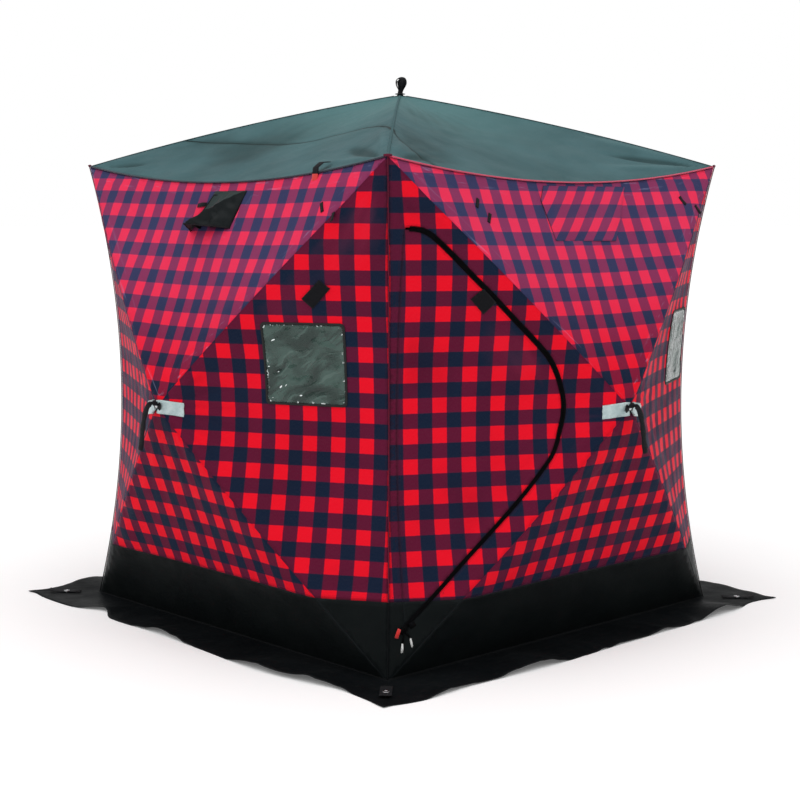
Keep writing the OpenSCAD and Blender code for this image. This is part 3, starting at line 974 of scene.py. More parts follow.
@dataclass
class ClothPatch:
    """A flat-cut piece of cloth laid on a facet, with folds and a lining."""

    facet: Facet
    outline: Array
    holes: list = field(default_factory=list)
    gap: float = 0.017
    proud: float = 0.0
    thick: float = 0.0014
    seams: Optional[list] = None
    quiet: list = field(default_factory=list)
    within: list = field(default_factory=list)
    lines: list = field(default_factory=list)
    shift: tuple = (0.0, 0.0)
    shear: float = 0.0
    bend: float = 0.0

    def mesh(self, folds: Optional[Callable[[Array, Array], Array]] = None) -> tuple[Array, list, list, Array]:
        """Cuts the cloth, lays it on its facet, folds it and closes it with a lining.

        Args:
            folds: gives a height for flat points and their distances to the border.

        Returns:
            Points, faces, slot numbers (0 outside, 1 lining) and the cloth attribute.
        """
        loops = [self.outline, *self.holes, *self.within]
        low, high = self.outline.min(0), self.outline.max(0)
        xs, ys = np.arange(low[0], high[0], self.gap), np.arange(low[1], high[1], self.gap * 0.88)
        grid = np.array([(x + (self.gap / 2 if j % 2 else 0), y) for j, y in enumerate(ys) for x in xs])
        grid = grid[self.kept(grid)]
        grid = grid[far_from(grid, [*loops, *(np.vstack([k, k[::-1]]) for k in self.lines)]) > self.gap * 0.45]
        border = np.vstack([*loops, *self.lines])
        edges, base = [], 0
        for loop in loops:
            n = len(loop)
            edges += [(base + k, base + (k + 1) % n) for k in range(n)]
            base += n
        for line in self.lines:
            edges += [(base + k, base + k + 1) for k in range(len(line) - 1)]
            base += len(line)
        flat = np.vstack([border, grid])
        got = delaunay_2d_cdt([Vector(p) for p in flat], edges, [], 0, 1e-7)
        uv = np.array([tuple(p) for p in got[0]])
        faces = np.array([f for f in got[2] if len(f) == 3])
        faces = faces[self.kept(uv[faces].mean(1))]
        area = np.cross(uv[faces[:, 1]] - uv[faces[:, 0]], uv[faces[:, 2]] - uv[faces[:, 0]])
        faces[area < 0] = faces[area < 0][:, ::-1]
        faces = faces[abs(area) > 1e-10]
        used, faces = np.unique(faces, return_inverse=True)
        uv, faces = uv[used], faces.reshape(-1, 3)
        points = self.facet.lift(uv)
        reach = far_from(uv, loops)
        height = np.full(len(uv), self.proud)
        if folds is not None:
            height = height + folds(uv, reach)
        points = points + height[:, None] * self.facet.n
        seam = reach if self.seams is None else far_from(uv, self.seams)
        if self.quiet:
            seam = np.minimum(seam, far_from(uv, self.quiet) + 0.0125)
        print_at = uv @ np.array([[1.0, 0.0], [-self.shear, 1.0]]) + np.array(self.shift)
        print_at[:, 0] += self.bend * np.clip(uv[:, 1] - 0.3, 0, None) ** 2
        return self.closed(points, faces, np.column_stack([print_at, seam, height - self.proud]))

    def kept(self, flat: Array) -> Array:
        """Which flat points lie on the cut cloth."""
        keep = inside(flat, self.outline)
        for loop in self.within:
            keep &= inside(flat, loop)
        for hole in self.holes:
            keep &= ~inside(flat, hole)
        return keep

    def closed(self, points: Array, faces: Array, cloth: Array) -> tuple[Array, list, list, Array]:
        """Adds the lining and the cut edge to the outer face of the cloth."""
        normal = np.zeros_like(points)
        a, b, c = points[faces[:, 0]], points[faces[:, 1]], points[faces[:, 2]]
        cross = np.cross(b - a, c - a)
        for k in range(3):
            np.add.at(normal, faces[:, k], cross)
        normal /= np.maximum(np.linalg.norm(normal, axis=1, keepdims=True), 1e-12)
        n = len(points)
        under = points - normal * self.thick
        sides = {}
        for f in faces:
            for i in range(3):
                e = (int(f[i]), int(f[(i + 1) % 3]))
                if (e[1], e[0]) in sides:
                    del sides[(e[1], e[0])]
                else:
                    sides[e] = True
        rims = [(e[1], e[0], e[0] + n, e[1] + n) for e in sides]
        all_faces = [tuple(f) for f in faces] + [tuple(f[::-1] + n) for f in faces] + rims
        slots = [0] * len(faces) + [1] * (len(faces) + len(rims))
        return np.vstack([points, under]), all_faces, slots, np.vstack([cloth, cloth])


@dataclass
class FoldPlan:
    """How tensioned cloth puckers: at corners, along seams, and in broad soft waves."""

    seed: int
    corners: Sequence[Array]
    loops: Sequence[Array]
    pucker: float = 0.0062
    reach: float = 0.28
    pleats: float = 15.0
    seam_pucker: float = 0.0012
    wave: float = 0.0050
    fine: float = 0.0011
    streaks: Sequence[tuple] = ()

    def at(self, uv: Array, border: Array) -> Array:
        """The folds under a small piece that lies on the cloth, whatever its own border is."""
        return self(uv, far_from(uv, self.loops))

    def __call__(self, uv: Array, border: Array) -> Array:
        """The height of the folds at flat points.

        Args:
            uv: the flat points.
            border: their distances to the cloth's border.

        Returns:
            Heights in metres, zero on the border.
        """
        hold = 1 - np.exp(-(border / 0.030) ** 2)
        out = self.wave * ripple(uv, 0.42, self.seed) * hold + self.fine * ripple(uv, 0.11, self.seed + 3) * hold
        for k, corner in enumerate(self.corners):
            d = uv - corner
            r = np.linalg.norm(d, axis=1)
            angle = np.arctan2(d[:, 1], d[:, 0])
            bend = angle * self.pleats + 1.7 * k + 2.2 * ripple(uv, 0.35, self.seed + 11 + k)
            crest = np.abs(np.sin(bend)) ** 1.6 - 0.4
            out += self.pucker * crest * np.exp(-r / self.reach) * (1 - np.exp(-r / 0.05)) * hold
        for a, b, height, width in self.streaks:
            a, b = np.array(a, float), np.array(b, float)
            d = b - a
            t = np.clip(((uv - a) @ d) / (d @ d), 0, 1)
            away = np.linalg.norm(uv - (a + t[:, None] * d), axis=1)
            out += height * np.exp(-(away / width) ** 2) * np.sin(np.pi * np.clip(t, 0.02, 0.98)) ** 0.5 * hold
        near = np.exp(-border / 0.028) * (1 - np.exp(-border / 0.006))
        out += self.seam_pucker * near * ripple(uv, 0.030, self.seed + 21) * 2.2
        return out


# ---------------------------------------------------------------- sub-assemblies
@dataclass
class Crew:
    """What every sub-assembly shares: the sizes, the finishes and the list of finished pieces."""

    shape: HutShape
    finishes: Finishes
    made: list = field(default_factory=list)
    ground: dict = field(default_factory=dict)

    def keep(self, piece: bpy.types.Object, slot: str, nodes: Sequence[str], body: str = "hut") -> bpy.types.Object:
        """Puts a piece in the frame.

        Args:
            piece: the piece.
            slot: not used.
            nodes: the CAD nodes that it stands for.
            body: the body that it rides on, or nothing where it bends across the joint.

        Returns:
            The piece.
        """
        if body:
            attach(piece, body)
        if nodes:
            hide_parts(*nodes)
        self.made.append(piece)
        LOG.info("%s: %d faces on %s", piece.name, len(piece.data.polygons), body)
        return piece

    def cloth(self, piece: bpy.types.Object, held: str = "stretched", rests_on: Sequence = ()) -> None:
        """Does nothing; the piece stays as it was made."""


@dataclass
class WallCloth:
    """The check cloth of one wall: its facets, openings and seams."""

    crew: Crew
    wall: Wall
    step: float = 0.0155
    start: float = 0.005

    def facet(self, part: Part) -> Facet:
        """One facet of the wall."""
        return Facet(self.crew.shape, part)

    def outline(self, facet: Facet) -> Array:
        """The facet's outline in cloth coordinates, down to the black band."""
        s, part = self.crew.shape, facet.part
        t = np.linspace(self.start, 1, 76)
        if facet.sign:
            top = facet.at(np.ones_like(t), t)
            seam_a = np.linspace(1, s.band / s.eave, 96)
            seam = facet.at(seam_a, np.ones_like(seam_a))
            foot_a = np.linspace(s.band / s.eave, 0, 18)
            foot = facet.at(foot_a, s.band_share(foot_a * s.eave))
            last = s.band_share(np.array(0.0))
            back = np.linspace(last, self.start, 54)
            low = facet.at(np.zeros_like(back), back)
            path = np.vstack([top, seam[1:], foot[1:], low[1:]])
        elif part is Part.UPPER:
            a = np.linspace(0, 1, 112)
            path = np.vstack([facet.at(0 * t, t), facet.at(a, np.ones_like(a))[1:], facet.at(np.ones_like(t), t[::-1])[1:]])
        else:
            last = float(s.band_share(np.array(0.0)))
            a, t = np.linspace(0, 1, 80), np.linspace(self.start, last, 54)
            path = np.vstack([facet.at(0 * t, t), facet.at(a, np.full_like(a, last))[1:], facet.at(np.ones_like(t), t[::-1])[1:]])
        flat = facet.flat(path)
        x, y = flat[:, 0], flat[:, 1]
        if (x * np.roll(y, -1) - y * np.roll(x, -1)).sum() < 0:
            flat = flat[::-1]
        return flat

    def edges(self, facet: Facet) -> tuple[list, list]:
        """The sewn edges of a facet: the plain ones, and the quiet ones that run over poles."""
        s, t = self.crew.shape, np.linspace(self.start, 1, 60)
        arms = [facet.flat(facet.at(np.full_like(t, a), t)) for a in (0.0, 1.0)]
        a = np.linspace(0, 1, 90)
        rim = facet.at(a, np.ones_like(a))
        if facet.part is not Part.UPPER:
            share = s.band_share(a * s.eave) if facet.sign else np.full_like(a, float(s.band_share(np.array(0.0))))
            foot = facet.flat(facet.at(a, share))
            sewn = [foot[a * s.eave <= s.band + 0.02] if facet.sign else foot]
            sewn += [facet.flat(rim)] if facet.sign else []
        else:
            sewn = [facet.flat(rim)]
        return [np.vstack([e, e[::-1]]) for e in sewn], [np.vstack([e, e[::-1]]) for e in arms]

    def openings(self, part: Part) -> list:
        """The cut-outs of a facet: window, vent or doorway."""
        if part is Part.RIGHT:
            return [Window(self.crew, self.wall).loop(-0.012)]
        if part is Part.UPPER and self.wall is Wall.FRONT:
            return [spaced(VentHood.CUT, 0.012)]
        if part is Part.UPPER and self.wall is Wall.DOOR:
            return [spaced(VentCover.CUT, 0.012)]
        if part is Part.LEFT and self.wall is Wall.DOOR:
            return [Door.edge(0.004)]
        return []

    def name(self, part: Part) -> str:
        """The CAD node of a facet."""
        if self.wall is Wall.DOOR and part in (Part.LEFT, Part.RIGHT):
            return {Part.LEFT: "door_wall_door_panel", Part.RIGHT: "door_wall_far_panel"}[part]
        return f"{self.wall.stem}_{part.value}_panel"

    def folds(self, facet: Facet, loops: Sequence[Array]) -> FoldPlan:
        """The puckers of one facet."""
        ends = facet.flat(facet.at(np.array([0.0, 1.0]), np.array([1.0, 1.0])))
        corners = [np.zeros(2)] + ([ends[1]] if facet.sign else list(ends) if facet.part is Part.UPPER else [])
        seed = 10 * self.wall.value[1] + list(Part).index(facet.part)
        return FoldPlan(seed, corners, loops)

    def panel(self, part: Part) -> bpy.types.Object:
        """Builds one facet of check cloth.

        Args:
            part: which facet.

        Returns:
            The piece.
        """
        facet = self.facet(part)
        outline, holes = self.outline(facet), self.openings(part)
        shift = PRINT.get((self.wall, part), PRINT_PLAIN[part])
        sewn, quiet = self.edges(facet)
        plan = self.folds(facet, [outline, *holes])
        self.crew.ground[self.wall, part] = plan
        patch = ClothPatch(facet, outline, holes, gap=self.step, shift=shift, seams=sewn + holes, quiet=quiet,
                           bend=-0.18 * facet.sign)
        points, faces, slots, cloth = patch.mesh(plan)
        node, look = self.name(part), self.crew.finishes
        # The upper facets take the lit copy of the check, with painted sheen and glints.
        outer = look.check_faded if part is Part.UPPER else look.check
        piece = mesh_object(node.replace("_panel", "_cloth"), self.wall.turned(points), faces,
                            [outer, look.lining], slots, cloth)
        self.crew.keep(piece, "plaid_cloth", [node])
        self.crew.cloth(piece)
        return piece

    def foot(self, facet: Facet) -> Array:
        """The outline of a facet's black foot."""
        s = self.crew.shape
        last = float(s.band_share(np.array(0.0)))
        t = np.linspace(last, 1, 22)
        if facet.sign:
            a = np.linspace(0, s.band / s.eave, 18)
            path = np.vstack([facet.at(0 * t, t), facet.at(a, np.ones_like(a))[1:],
                              facet.at(a[::-1], s.band_share(a[::-1] * s.eave))[1:-1]])
        else:
            a = np.linspace(0, 1, 104)
            path = np.vstack([facet.at(0 * t, t), facet.at(a, np.ones_like(a))[1:], facet.at(np.ones_like(t), t[::-1])[1:],
                              facet.at(a[::-1], np.full_like(a, last))[1:-1]])
        flat = facet.flat(path)
        x, y = flat[:, 0], flat[:, 1]
        return flat if (x * np.roll(y, -1) - y * np.roll(x, -1)).sum() > 0 else flat[::-1]

    def band(self) -> bpy.types.Object:
        """Builds the black lower band across three facets."""
        parts, slots, cloths = [], [], []
        for part in (Part.LEFT, Part.LOWER, Part.RIGHT):
            facet = self.facet(part)
            outline = self.foot(facet)
            holes = self.openings(part) if part is Part.LEFT and self.wall is Wall.DOOR else []
            plan = FoldPlan(60 + 7 * self.wall.value[1] + len(parts), [], [outline], pucker=0.0, wave=0.0045, fine=0.0022)
            points, faces, which, cloth = ClothPatch(facet, outline, holes, gap=self.step).mesh(plan)
            parts.append((points, faces))
            slots += which
            cloths.append(cloth)
        points, faces = stacked(parts)
        look = self.crew.finishes
        piece = mesh_object(f"{self.wall.stem}_band_cloth", self.wall.turned(points), faces, [look.black, look.lining],
                            slots, np.vstack(cloths))
        self.crew.keep(piece, "black_cloth", [f"{self.wall.stem}_band"])
        self.crew.cloth(piece)
        return piece

    def trim(self) -> None:
        """Builds the piping of the roof edge, the corner welt and the bound foot of the wall."""
        s, look = self.crew.shape, self.crew.finishes
        upper, right = self.facet(Part.UPPER), self.facet(Part.RIGHT)
        a = np.linspace(0, 1, 90)
        lip = upper.at(a, np.ones_like(a)) + upper.n * 0.0025 + np.array([0, 0, 0.001])
        edge = tube(lip, 0.0030, 8)
        colour = look.navy_piping if self.wall in (Wall.FRONT, Wall.BACK) else look.red_piping
        self.crew.keep(mesh_object(f"{self.wall.stem}_roof_piping", self.wall.turned(edge[0]), edge[1], [colour]),
                       "webbing", [])
        for label, low, high, paint in (("corner_welt", s.band / s.eave, 1.0, look.welt),
                                        ("corner_foot_welt", 0.004, s.band / s.eave, look.black_tape)):
            a = np.linspace(low, high, 80)
            path = right.at(a, np.ones_like(a)) + np.array([1, -1, 0]) * 0.0018
            welt = tube(path, 0.0019, 8)
            self.crew.keep(mesh_object(f"{self.wall.stem}_{label}", self.wall.turned(welt[0]), welt[1], [paint]),
                           "webbing", [])
        x = np.linspace(-s.base_half, s.base_half, 60)
        hem = tube(np.stack([x, np.full_like(x, -s.base_half - 0.002), np.full_like(x, 0.0055)], 1), 0.0035, 8)
        self.crew.keep(mesh_object(f"{self.wall.stem}_foot_binding", self.wall.turned(hem[0]), hem[1], [look.black_tape]),
                       "webbing", [])

    def build(self) -> None:
        """Builds the wall's cloth and trim."""
        for part in (Part.UPPER, Part.LEFT, Part.RIGHT, Part.LOWER):
            self.panel(part)
        self.band()
        self.trim()


PRINT_PLAIN = {Part.UPPER: (0.02, 0.01), Part.LEFT: (0.03, 0.015), Part.RIGHT: (0.01, 0.015), Part.LOWER: (0.0, 0.02)}
PRINT = {(Wall.FRONT, Part.UPPER): (0.035, 0.036), (Wall.FRONT, Part.RIGHT): (0.073, 0.051),
         (Wall.FRONT, Part.LEFT): (0.030, 0.083), (Wall.FRONT, Part.LOWER): (0.074, -0.033),
         (Wall.DOOR, Part.UPPER): (-0.014, -0.016), (Wall.DOOR, Part.LEFT): (0.038, 0.016),
         (Wall.DOOR, Part.RIGHT): (0.010, -0.072), (Wall.DOOR, Part.LOWER): (0.044, 0.025)}


@dataclass
class Window:
    """A clear vinyl window with its binding, in the right facet of a wall."""

    crew: Crew
    wall: Wall
    width: float = 0.304
    height: float = 0.288
    round: float = 0.016

    @property
    def centre(self) -> tuple[float, float]:
        """Its centre in cloth coordinates."""
        return (0.725 if self.wall is Wall.DOOR else 0.602, 0.174)

    def loop(self, grow: float) -> Array:
        """Its outline, grown or shrunk, with round corners."""
        (x, y), w, h, r = self.centre, self.width / 2 + grow, self.height / 2 + grow, self.round
        path = []
        for k, (sx, sy) in enumerate(((1, 1), (-1, 1), (-1, -1), (1, -1))):
            for j in range(5):
                a = math.pi / 2 * (k + j / 4)
                path.append((x + sx * (w - r) + r * math.cos(a), y + sy * (h - r) + r * math.sin(a)))
        return spaced(path, 0.011)

    def crinkle(self, uv: Array, border: Array) -> Array:
        """The height of the film's creases, free of the binding."""
        free = 1 - np.exp(-(border / 0.018) ** 2)
        sharp = 1 - np.abs(ripple(uv, 0.060, 5 + self.wall.value[1])) * 1.5
        fine = 1 - np.abs(ripple(uv * (1.0, 1.6), 0.026, 9 + self.wall.value[1])) * 1.5
        broad = ripple(uv, 0.16, 3)
        return free * (0.0032 * sharp + 0.0015 * fine + 0.004 * broad)

    def build(self) -> None:
        """Builds the film and its binding."""
        look, facet = self.crew.finishes, Facet(self.crew.shape, Part.RIGHT)
        film = ClothPatch(facet, self.loop(-0.004), gap=0.0066, proud=0.0016, thick=0.0008)
        points, faces, slots, cloth = film.mesh(self.crinkle)
        piece = mesh_object(f"{self.wall.stem}_window_film", self.wall.turned(points), faces, [look.vinyl], None, cloth)
        self.crew.keep(piece, "window_vinyl", [f"{self.wall.stem}_window"])
        self.crew.cloth(piece)
        bind = ClothPatch(facet, self.loop(0.002), [self.loop(-0.0060)], gap=0.012, proud=0.0032, thick=0.003)
        points, faces, slots, cloth = bind.mesh()
        piece = mesh_object(f"{self.wall.stem}_window_binding", self.wall.turned(points), faces, [look.binding], None, cloth)
        self.crew.keep(piece, "webbing", [])


@dataclass
class VentHood:
    """The black hood over the front vent, held open at its foot."""

    crew: Crew
    rise: float = 0.074

    rows: int = 26
    columns: int = 30
    fold: float = 0.23

    CUT = ((-0.096, 0.706), (0.118, 0.694), (0.140, 0.818), (-0.028, 0.820))

    def place(self, down: float, across: float) -> tuple[float, float, float]:
        """A point of the hood: across and up the facet, and out from it.

        Args:
            down: 0 at the sewn top edge and 1 at the open foot.
            across: 0 at the left edge, 0.5 on the crease and 1 at the right edge.

        Returns:
            The three lengths.
        """
        crease = 0.97 + (self.fold - 0.97) * down ** 0.85
        share = 2 * across * crease if across < 0.5 else crease + (2 * across - 1) * (1 - crease)
        left, right = -0.027 - 0.078 * down, 0.164 - 0.033 * down
        x, y = left + (right - left) * share, 0.836 - (0.160 - 0.016 * share) * down
        level = 2 * across if across < 0.5 else 2 - 2 * across
        out = self.rise * down ** 0.72 * level ** (1.25 if across < 0.5 else 0.8)
        pleat = 0.0075 * math.sin(11.0 * share + 6.0 * down) * math.sin(math.pi * level / 1.6) * down ** 0.4
        crush = 0.011 * noise.noise(Vector((x * 38 + y * 14, y * 24, 4.0))) * min(1.0, 3 * level) * (0.3 + 0.7 * down)
        return x, y, 0.0022 + max(0.0, out + pleat * (0.4 if across < 0.5 else 1.0) + crush)

    def build(self) -> None:
        """Builds the hood, its rim tape, its frame tape, its prop and its side tab."""
        look, facet = self.crew.finishes, Facet(self.crew.shape, Part.UPPER)
        rows, columns = self.rows, self.columns
        local = np.array([self.place(j / (rows - 1), i / columns) for j in range(rows) for i in range(columns + 1)])
        outer = facet.lift(local[:, :2]) + local[:, 2:3] * facet.n
        n = columns + 1
        faces = [(j * n + i, (j + 1) * n + i, (j + 1) * n + i + 1, j * n + i + 1)
                 for j in range(rows - 1) for i in range(columns)]
        cloth = np.column_stack([local[:, :2], np.full(len(local), 0.05)])
        # Painted light: the left half takes the lighter, lit copy of the cloth and the right half the darker, shaded
        # copy.
        dark = [int(k % columns >= columns // 2) for k in range(len(faces))]
        piece = mesh_object("vent_hood_cloth", outer, faces, [look.hood, look.hood_dark], dark, cloth)
        solid = piece.modifiers.new("thickness", "SOLIDIFY")
        solid.thickness, solid.offset = 0.0022, -1
        apply_modifiers(piece)
        self.crew.keep(piece, "black_cloth", ["vent_hood"])
        self.crew.cloth(piece)
        tape = tube(outer[(rows - 1) * n:], 0.0030, 8)
        flat = facet.lift(spaced(self.CUT, 0.012)) + facet.n * 0.002
        frame_tape = tube(np.vstack([flat, flat[:2]]), 0.0045, 8, 0.5, Vector(facet.n), False)
        foot = facet.lift(np.array([[-0.052, 0.690]] * 3))
        prop = tube(foot + np.array([[0.002], [0.036], [0.068]]) * facet.n, 0.0045, 10)
        tab = facet.lift(np.array([[-0.055, 0.783], [-0.080, 0.781], [-0.105, 0.778]]))
        side = tube(tab + np.array([[0.004], [0.007], [0.005]]) * facet.n, [0.008, 0.009, 0.008], 12, 0.2, Vector(facet.n))
        self.crew.keep(mesh_object("vent_hood_trim", *stacked([tape, frame_tape, prop, side]), [look.webbing]), "webbing", [])


@dataclass
class VentCover:
    """The closed flap of check cloth over the door wall's vent."""

    crew: Crew

    CUT = ((-0.120, 0.690), (0.160, 0.690), (0.225, 0.812), (-0.120, 0.812))
    EDGE = ((-0.157, 0.644), (0.176, 0.640), (0.222, 0.700), (0.318, 0.857), (-0.140, 0.857), (-0.176, 0.800))

    def build(self) -> None:
        """Builds the flap, a little puffed, with its hem."""
        look, facet = self.crew.finishes, Facet(self.crew.shape, Part.UPPER)
        outline = spaced(self.EDGE, 0.012)

        def puff(uv: Array, border: Array) -> Array:
            """The flap's crown and creases."""
            return 0.0058 * (1 - np.exp(-(border / 0.030) ** 2)) + 0.0016 * ripple(uv, 0.06, 31) * (1 - np.exp(-border / 0.02))

        patch = ClothPatch(facet, outline, gap=0.011, proud=0.0028, thick=0.0022, shift=(0.780, -0.016),
                           shear=1.0, seams=[outline + 9.0])
        points, faces, slots, cloth = patch.mesh(puff)
        # The flap takes the lit copy of the check, with painted sheen.
        piece = mesh_object("vent_cover_cloth", Wall.DOOR.turned(points), faces, [look.check_faded, look.lining], slots, cloth)
        self.crew.keep(piece, "plaid_cloth", ["vent_cover"])
        self.crew.cloth(piece)


def apply_modifiers(piece: bpy.types.Object) -> None:
    """Applies every modifier of a piece."""
    bpy.ops.object.select_all(action="DESELECT")
    bpy.context.view_layer.objects.active = piece
    piece.select_set(True)
    for modifier in list(piece.modifiers):
        bpy.ops.object.modifier_apply(modifier=modifier.name)
    piece.select_set(False)


@dataclass
class Door:
    """The cloth door, its black foot, both halves of its zip and the slider; its pad is laid with the small patches."""

    crew: Crew
    hinge: float = -0.876

    MIDDLE = ((-0.874, -0.712), (-0.762, -0.607), (-0.659, -0.506), (-0.555, -0.408), (-0.458, -0.315),
              (-0.374, -0.226), (-0.309, -0.144), (-0.280, -0.060), (-0.268, 0.0), (-0.272, 0.055),
              (-0.297, 0.128), (-0.336, 0.195), (-0.400, 0.262), (-0.474, 0.332), (-0.540, 0.396),
              (-0.582, 0.436), (-0.640, 0.489), (-0.700, 0.546), (-0.755, 0.596), (-0.799, 0.630),
              (-0.836, 0.643), (-0.874, 0.646))
    TAIL = (-0.899, -0.737)

    @staticmethod
    def zip_line(gap: float = 0.011) -> Array:
        """The middle of the doorway's edge, from the foot of the hinge side up and round to its top."""
        return smooth_path(Door.MIDDLE, gap)

    @staticmethod
    def zip_run(gap: float) -> Array:
        """The middle of the zip, whose sewn tail runs on past the doorway's foot."""
        line = smooth_path((Door.TAIL, *Door.MIDDLE), gap)
        return line[(line[:, 0] > -0.868) | (line[:, 1] < 0)]

    @staticmethod
    def edge(grow: float, hinge: Optional[float] = None) -> Array:
        """The closed outline of the doorway or the flap.

        Args:
            grow: how far outside the zip's middle it runs.
            hinge: where its straight side is; None keeps the zip's ends.

        Returns:
            The loop, anticlockwise.
        """
        path = shifted(Door.zip_line(), grow)
        side = -0.874 - grow if hinge is None else hinge
        path = path[path[:, 0] > side]
        low, high = (side, path[0, 1] - 0.0), (side, path[-1, 1])
        back = spaced([high, low], 0.014, False)
        return np.vstack([path, back])

    def panel_foot(self) -> tuple[Array, Array]:
        """The regions of check cloth and of black foot on the facet."""
        cloth = WallCloth(self.crew, Wall.DOOR)
        facet = cloth.facet(Part.LEFT)
        return cloth.outline(facet), cloth.foot(facet)

    def swing(self, piece: bpy.types.Object) -> None:
        """Bakes the transform of a piece of the door into its mesh; the ends of the line where it stays sewn are found
        but not used.
        """
        facet = Facet(self.crew.shape, Part.LEFT)
        ends = Wall.DOOR.turned(facet.lift(np.array([[self.hinge - 0.010, 0.0], [self.hinge + 0.060, 0.0]])))
        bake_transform(piece)

    def cloths(self) -> None:
        """Builds the flap and its foot."""
        look, facet = self.crew.finishes, Facet(self.crew.shape, Part.LEFT)
        regions = self.panel_foot()
        outline = self.edge(-0.0035, -0.881)
        plan = FoldPlan(77, [np.array([-0.268, 0.0])], [outline], pucker=0.003, wave=0.0060, fine=0.0016)
        self.crew.ground[Wall.DOOR, "flap"] = plan
        shift = PRINT.get((Wall.DOOR, Part.LEFT), PRINT_PLAIN[Part.LEFT])
        for name, region, paint, node, slot in (("door_flap_cloth", regions[0], look.check, "door_flap", "plaid_cloth"),
                                               ("door_foot_cloth", regions[1], look.black, "door_lower_flap", "black_cloth")):
            patch = ClothPatch(facet, outline, within=[region], gap=0.0145, proud=0.0004, shift=shift, bend=0.18)
            points, faces, slots, cloth = patch.mesh(plan)
            piece = mesh_object(name, Wall.DOOR.turned(points), faces, [paint, look.lining], slots, cloth)
            self.crew.keep(piece, slot, [node], "")
            self.crew.cloth(piece)
            self.swing(piece)

    def zip_half(self, side: float, body: str, node: str) -> None:
        """Builds one half of the zip: its tape and its teeth.

        Args:
            side: 1 for the wall's half, -1 for the door's.
            body: the body that it rides on.
            node: the CAD node that it stands for.
        """
        look, facet = self.crew.finishes, Facet(self.crew.shape, Part.LEFT)
        line = self.zip_run(0.010)
        tape = 0.0060 + 0.0026 / (1 + np.exp(-(line[:, 1] + 0.10) / 0.03))
        rows = []
        for share, lift in ((0.0, 0.0032), (0.25, 0.0036), (0.9, 0.0034), (1.0, 0.0026), (1.0, 0.0008), (0.0, 0.0008)):
            d = np.gradient(line, axis=0)
            d /= np.linalg.norm(d, axis=1, keepdims=True)
            flat = line + side * (0.0002 + share * tape)[:, None] * np.stack([d[:, 1], -d[:, 0]], 1)
            rows.append(facet.lift(flat) + lift * facet.n)
        n, m = len(line), len(rows)
        points = np.stack(rows, 1).reshape(-1, 3)
        faces = []
        for i in range(n - 1):
            for j in range(m):
                a, b = i * m + j, i * m + (j + 1) % m
                faces.append((a, b, b + m, a + m) if side > 0 else (b, a, a + m, b + m))
        faces += [tuple(range(m)), tuple(range((n - 1) * m, n * m))]
        teeth = self.teeth(side)
        ribbon = mesh_object(f"zip_tape_{body}", Wall.DOOR.turned(points), faces, [look.tape])
        chain = mesh_object(f"zip_teeth_{body}", Wall.DOOR.turned(teeth[0]), teeth[1], [look.coil], smooth=False)
        still = "" if body == "door" else body
        self.crew.keep(ribbon, "zip_tape", [node], still)
        self.crew.keep(chain, "zip_tape", [], still)
        if not still:
            self.swing(ribbon)
            self.swing(chain)

    def teeth(self, side: float) -> tuple[Array, list]:
        """The teeth of one half of the zip, set alternately with the other half's."""
        facet = Facet(self.crew.shape, Part.LEFT)
        line = self.zip_run(0.0046)
        if side < 0:
            line = (line[1:] + line[:-1]) / 2
        d = np.gradient(line, axis=0)
        d /= np.linalg.norm(d, axis=1, keepdims=True)
        out = side * np.stack([d[:, 1], -d[:, 0]], 1)
        boxes = []
        for a in (-0.0008, 0.0030):
            for b in (-0.0010, 0.0010):
                for lift in (0.0034, 0.0054):
                    boxes.append(facet.lift(line + a * out + b * d) + lift * facet.n)
        points = np.stack(boxes, 1).reshape(-1, 3)
        cube = ((0, 1, 3, 2), (4, 6, 7, 5), (0, 4, 5, 1), (2, 3, 7, 6), (0, 2, 6, 4), (1, 5, 7, 3))
        faces = [tuple(8 * k + i for i in (f if side > 0 else f[::-1])) for k in range(len(line)) for f in cube]
        return points, faces

    def slider(self) -> None:
        """Builds the slider, its red tab and its two white pull cords."""
        look, facet = self.crew.finishes, Facet(self.crew.shape, Part.LEFT)
        at = facet.lift(np.array([[-0.888, -0.727]]))[0] + facet.n * 0.009
        u, v, n = facet.u, facet.v, facet.n
        along = (u * 0.73 + v * 0.68)
        body = tube(np.array([at - along * 0.017, at - along * 0.006, at + along * 0.008, at + along * 0.017]),
                    [0.007, 0.010, 0.011, 0.008], 12, 0.5, Vector(n))
        bail = tube(np.array([at + n * 0.004 - along * 0.008, at + n * 0.010, at + n * 0.004 + along * 0.010]), 0.0018, 8)
        flap = tube(np.array([at + n * 0.002 + u * 0.020 + v * 0.010, at + n * 0.002 + u * 0.040 + v * 0.020]), 0.011, 10, 0.25,
                    Vector(n))
        tab = np.array([at - u * 0.016 + v * 0.004, at - u * 0.024 - v * 0.010 + n * 0.004, at - u * 0.029 - v * 0.026 + n * 0.003])
        strings, cords = [], []
        for shift, start, length in ((-0.008, 0.046, 0.032), (0.022, 0.030, 0.038)):
            top = at + u * shift - v * start + n * 0.006
            strings.append(tube(np.array([at - v * 0.004, (at + top) / 2 + n * 0.005, top]), 0.0030, 8))
            foot = top + u * shift * 0.3 - v * length
            cords.append(tube(np.array([top, (top + foot) / 2 + n * 0.002, foot]), [0.0030, 0.0042, 0.0040], 10))
        parts = [("zip_slider", stacked([body, bail, flap, *strings]), look.coil),
                 ("zip_red_tab", tube(tab, 0.0072, 10, 0.28, Vector(n)), look.red_tab)]
        parts.append(("zip_pull_cords", stacked(cords), look.white_cord))
        for name, (points, faces), paint in parts:
            piece = mesh_object(name, Wall.DOOR.turned(points), faces, [paint])
            self.crew.keep(piece, "zip_tape", [])

    def build(self) -> None:
        """Builds the door."""
        self.cloths()
        self.zip_half(1.0, "hut", "frame_zip")
        self.zip_half(-1.0, "door", "door_zip")
        self.slider()


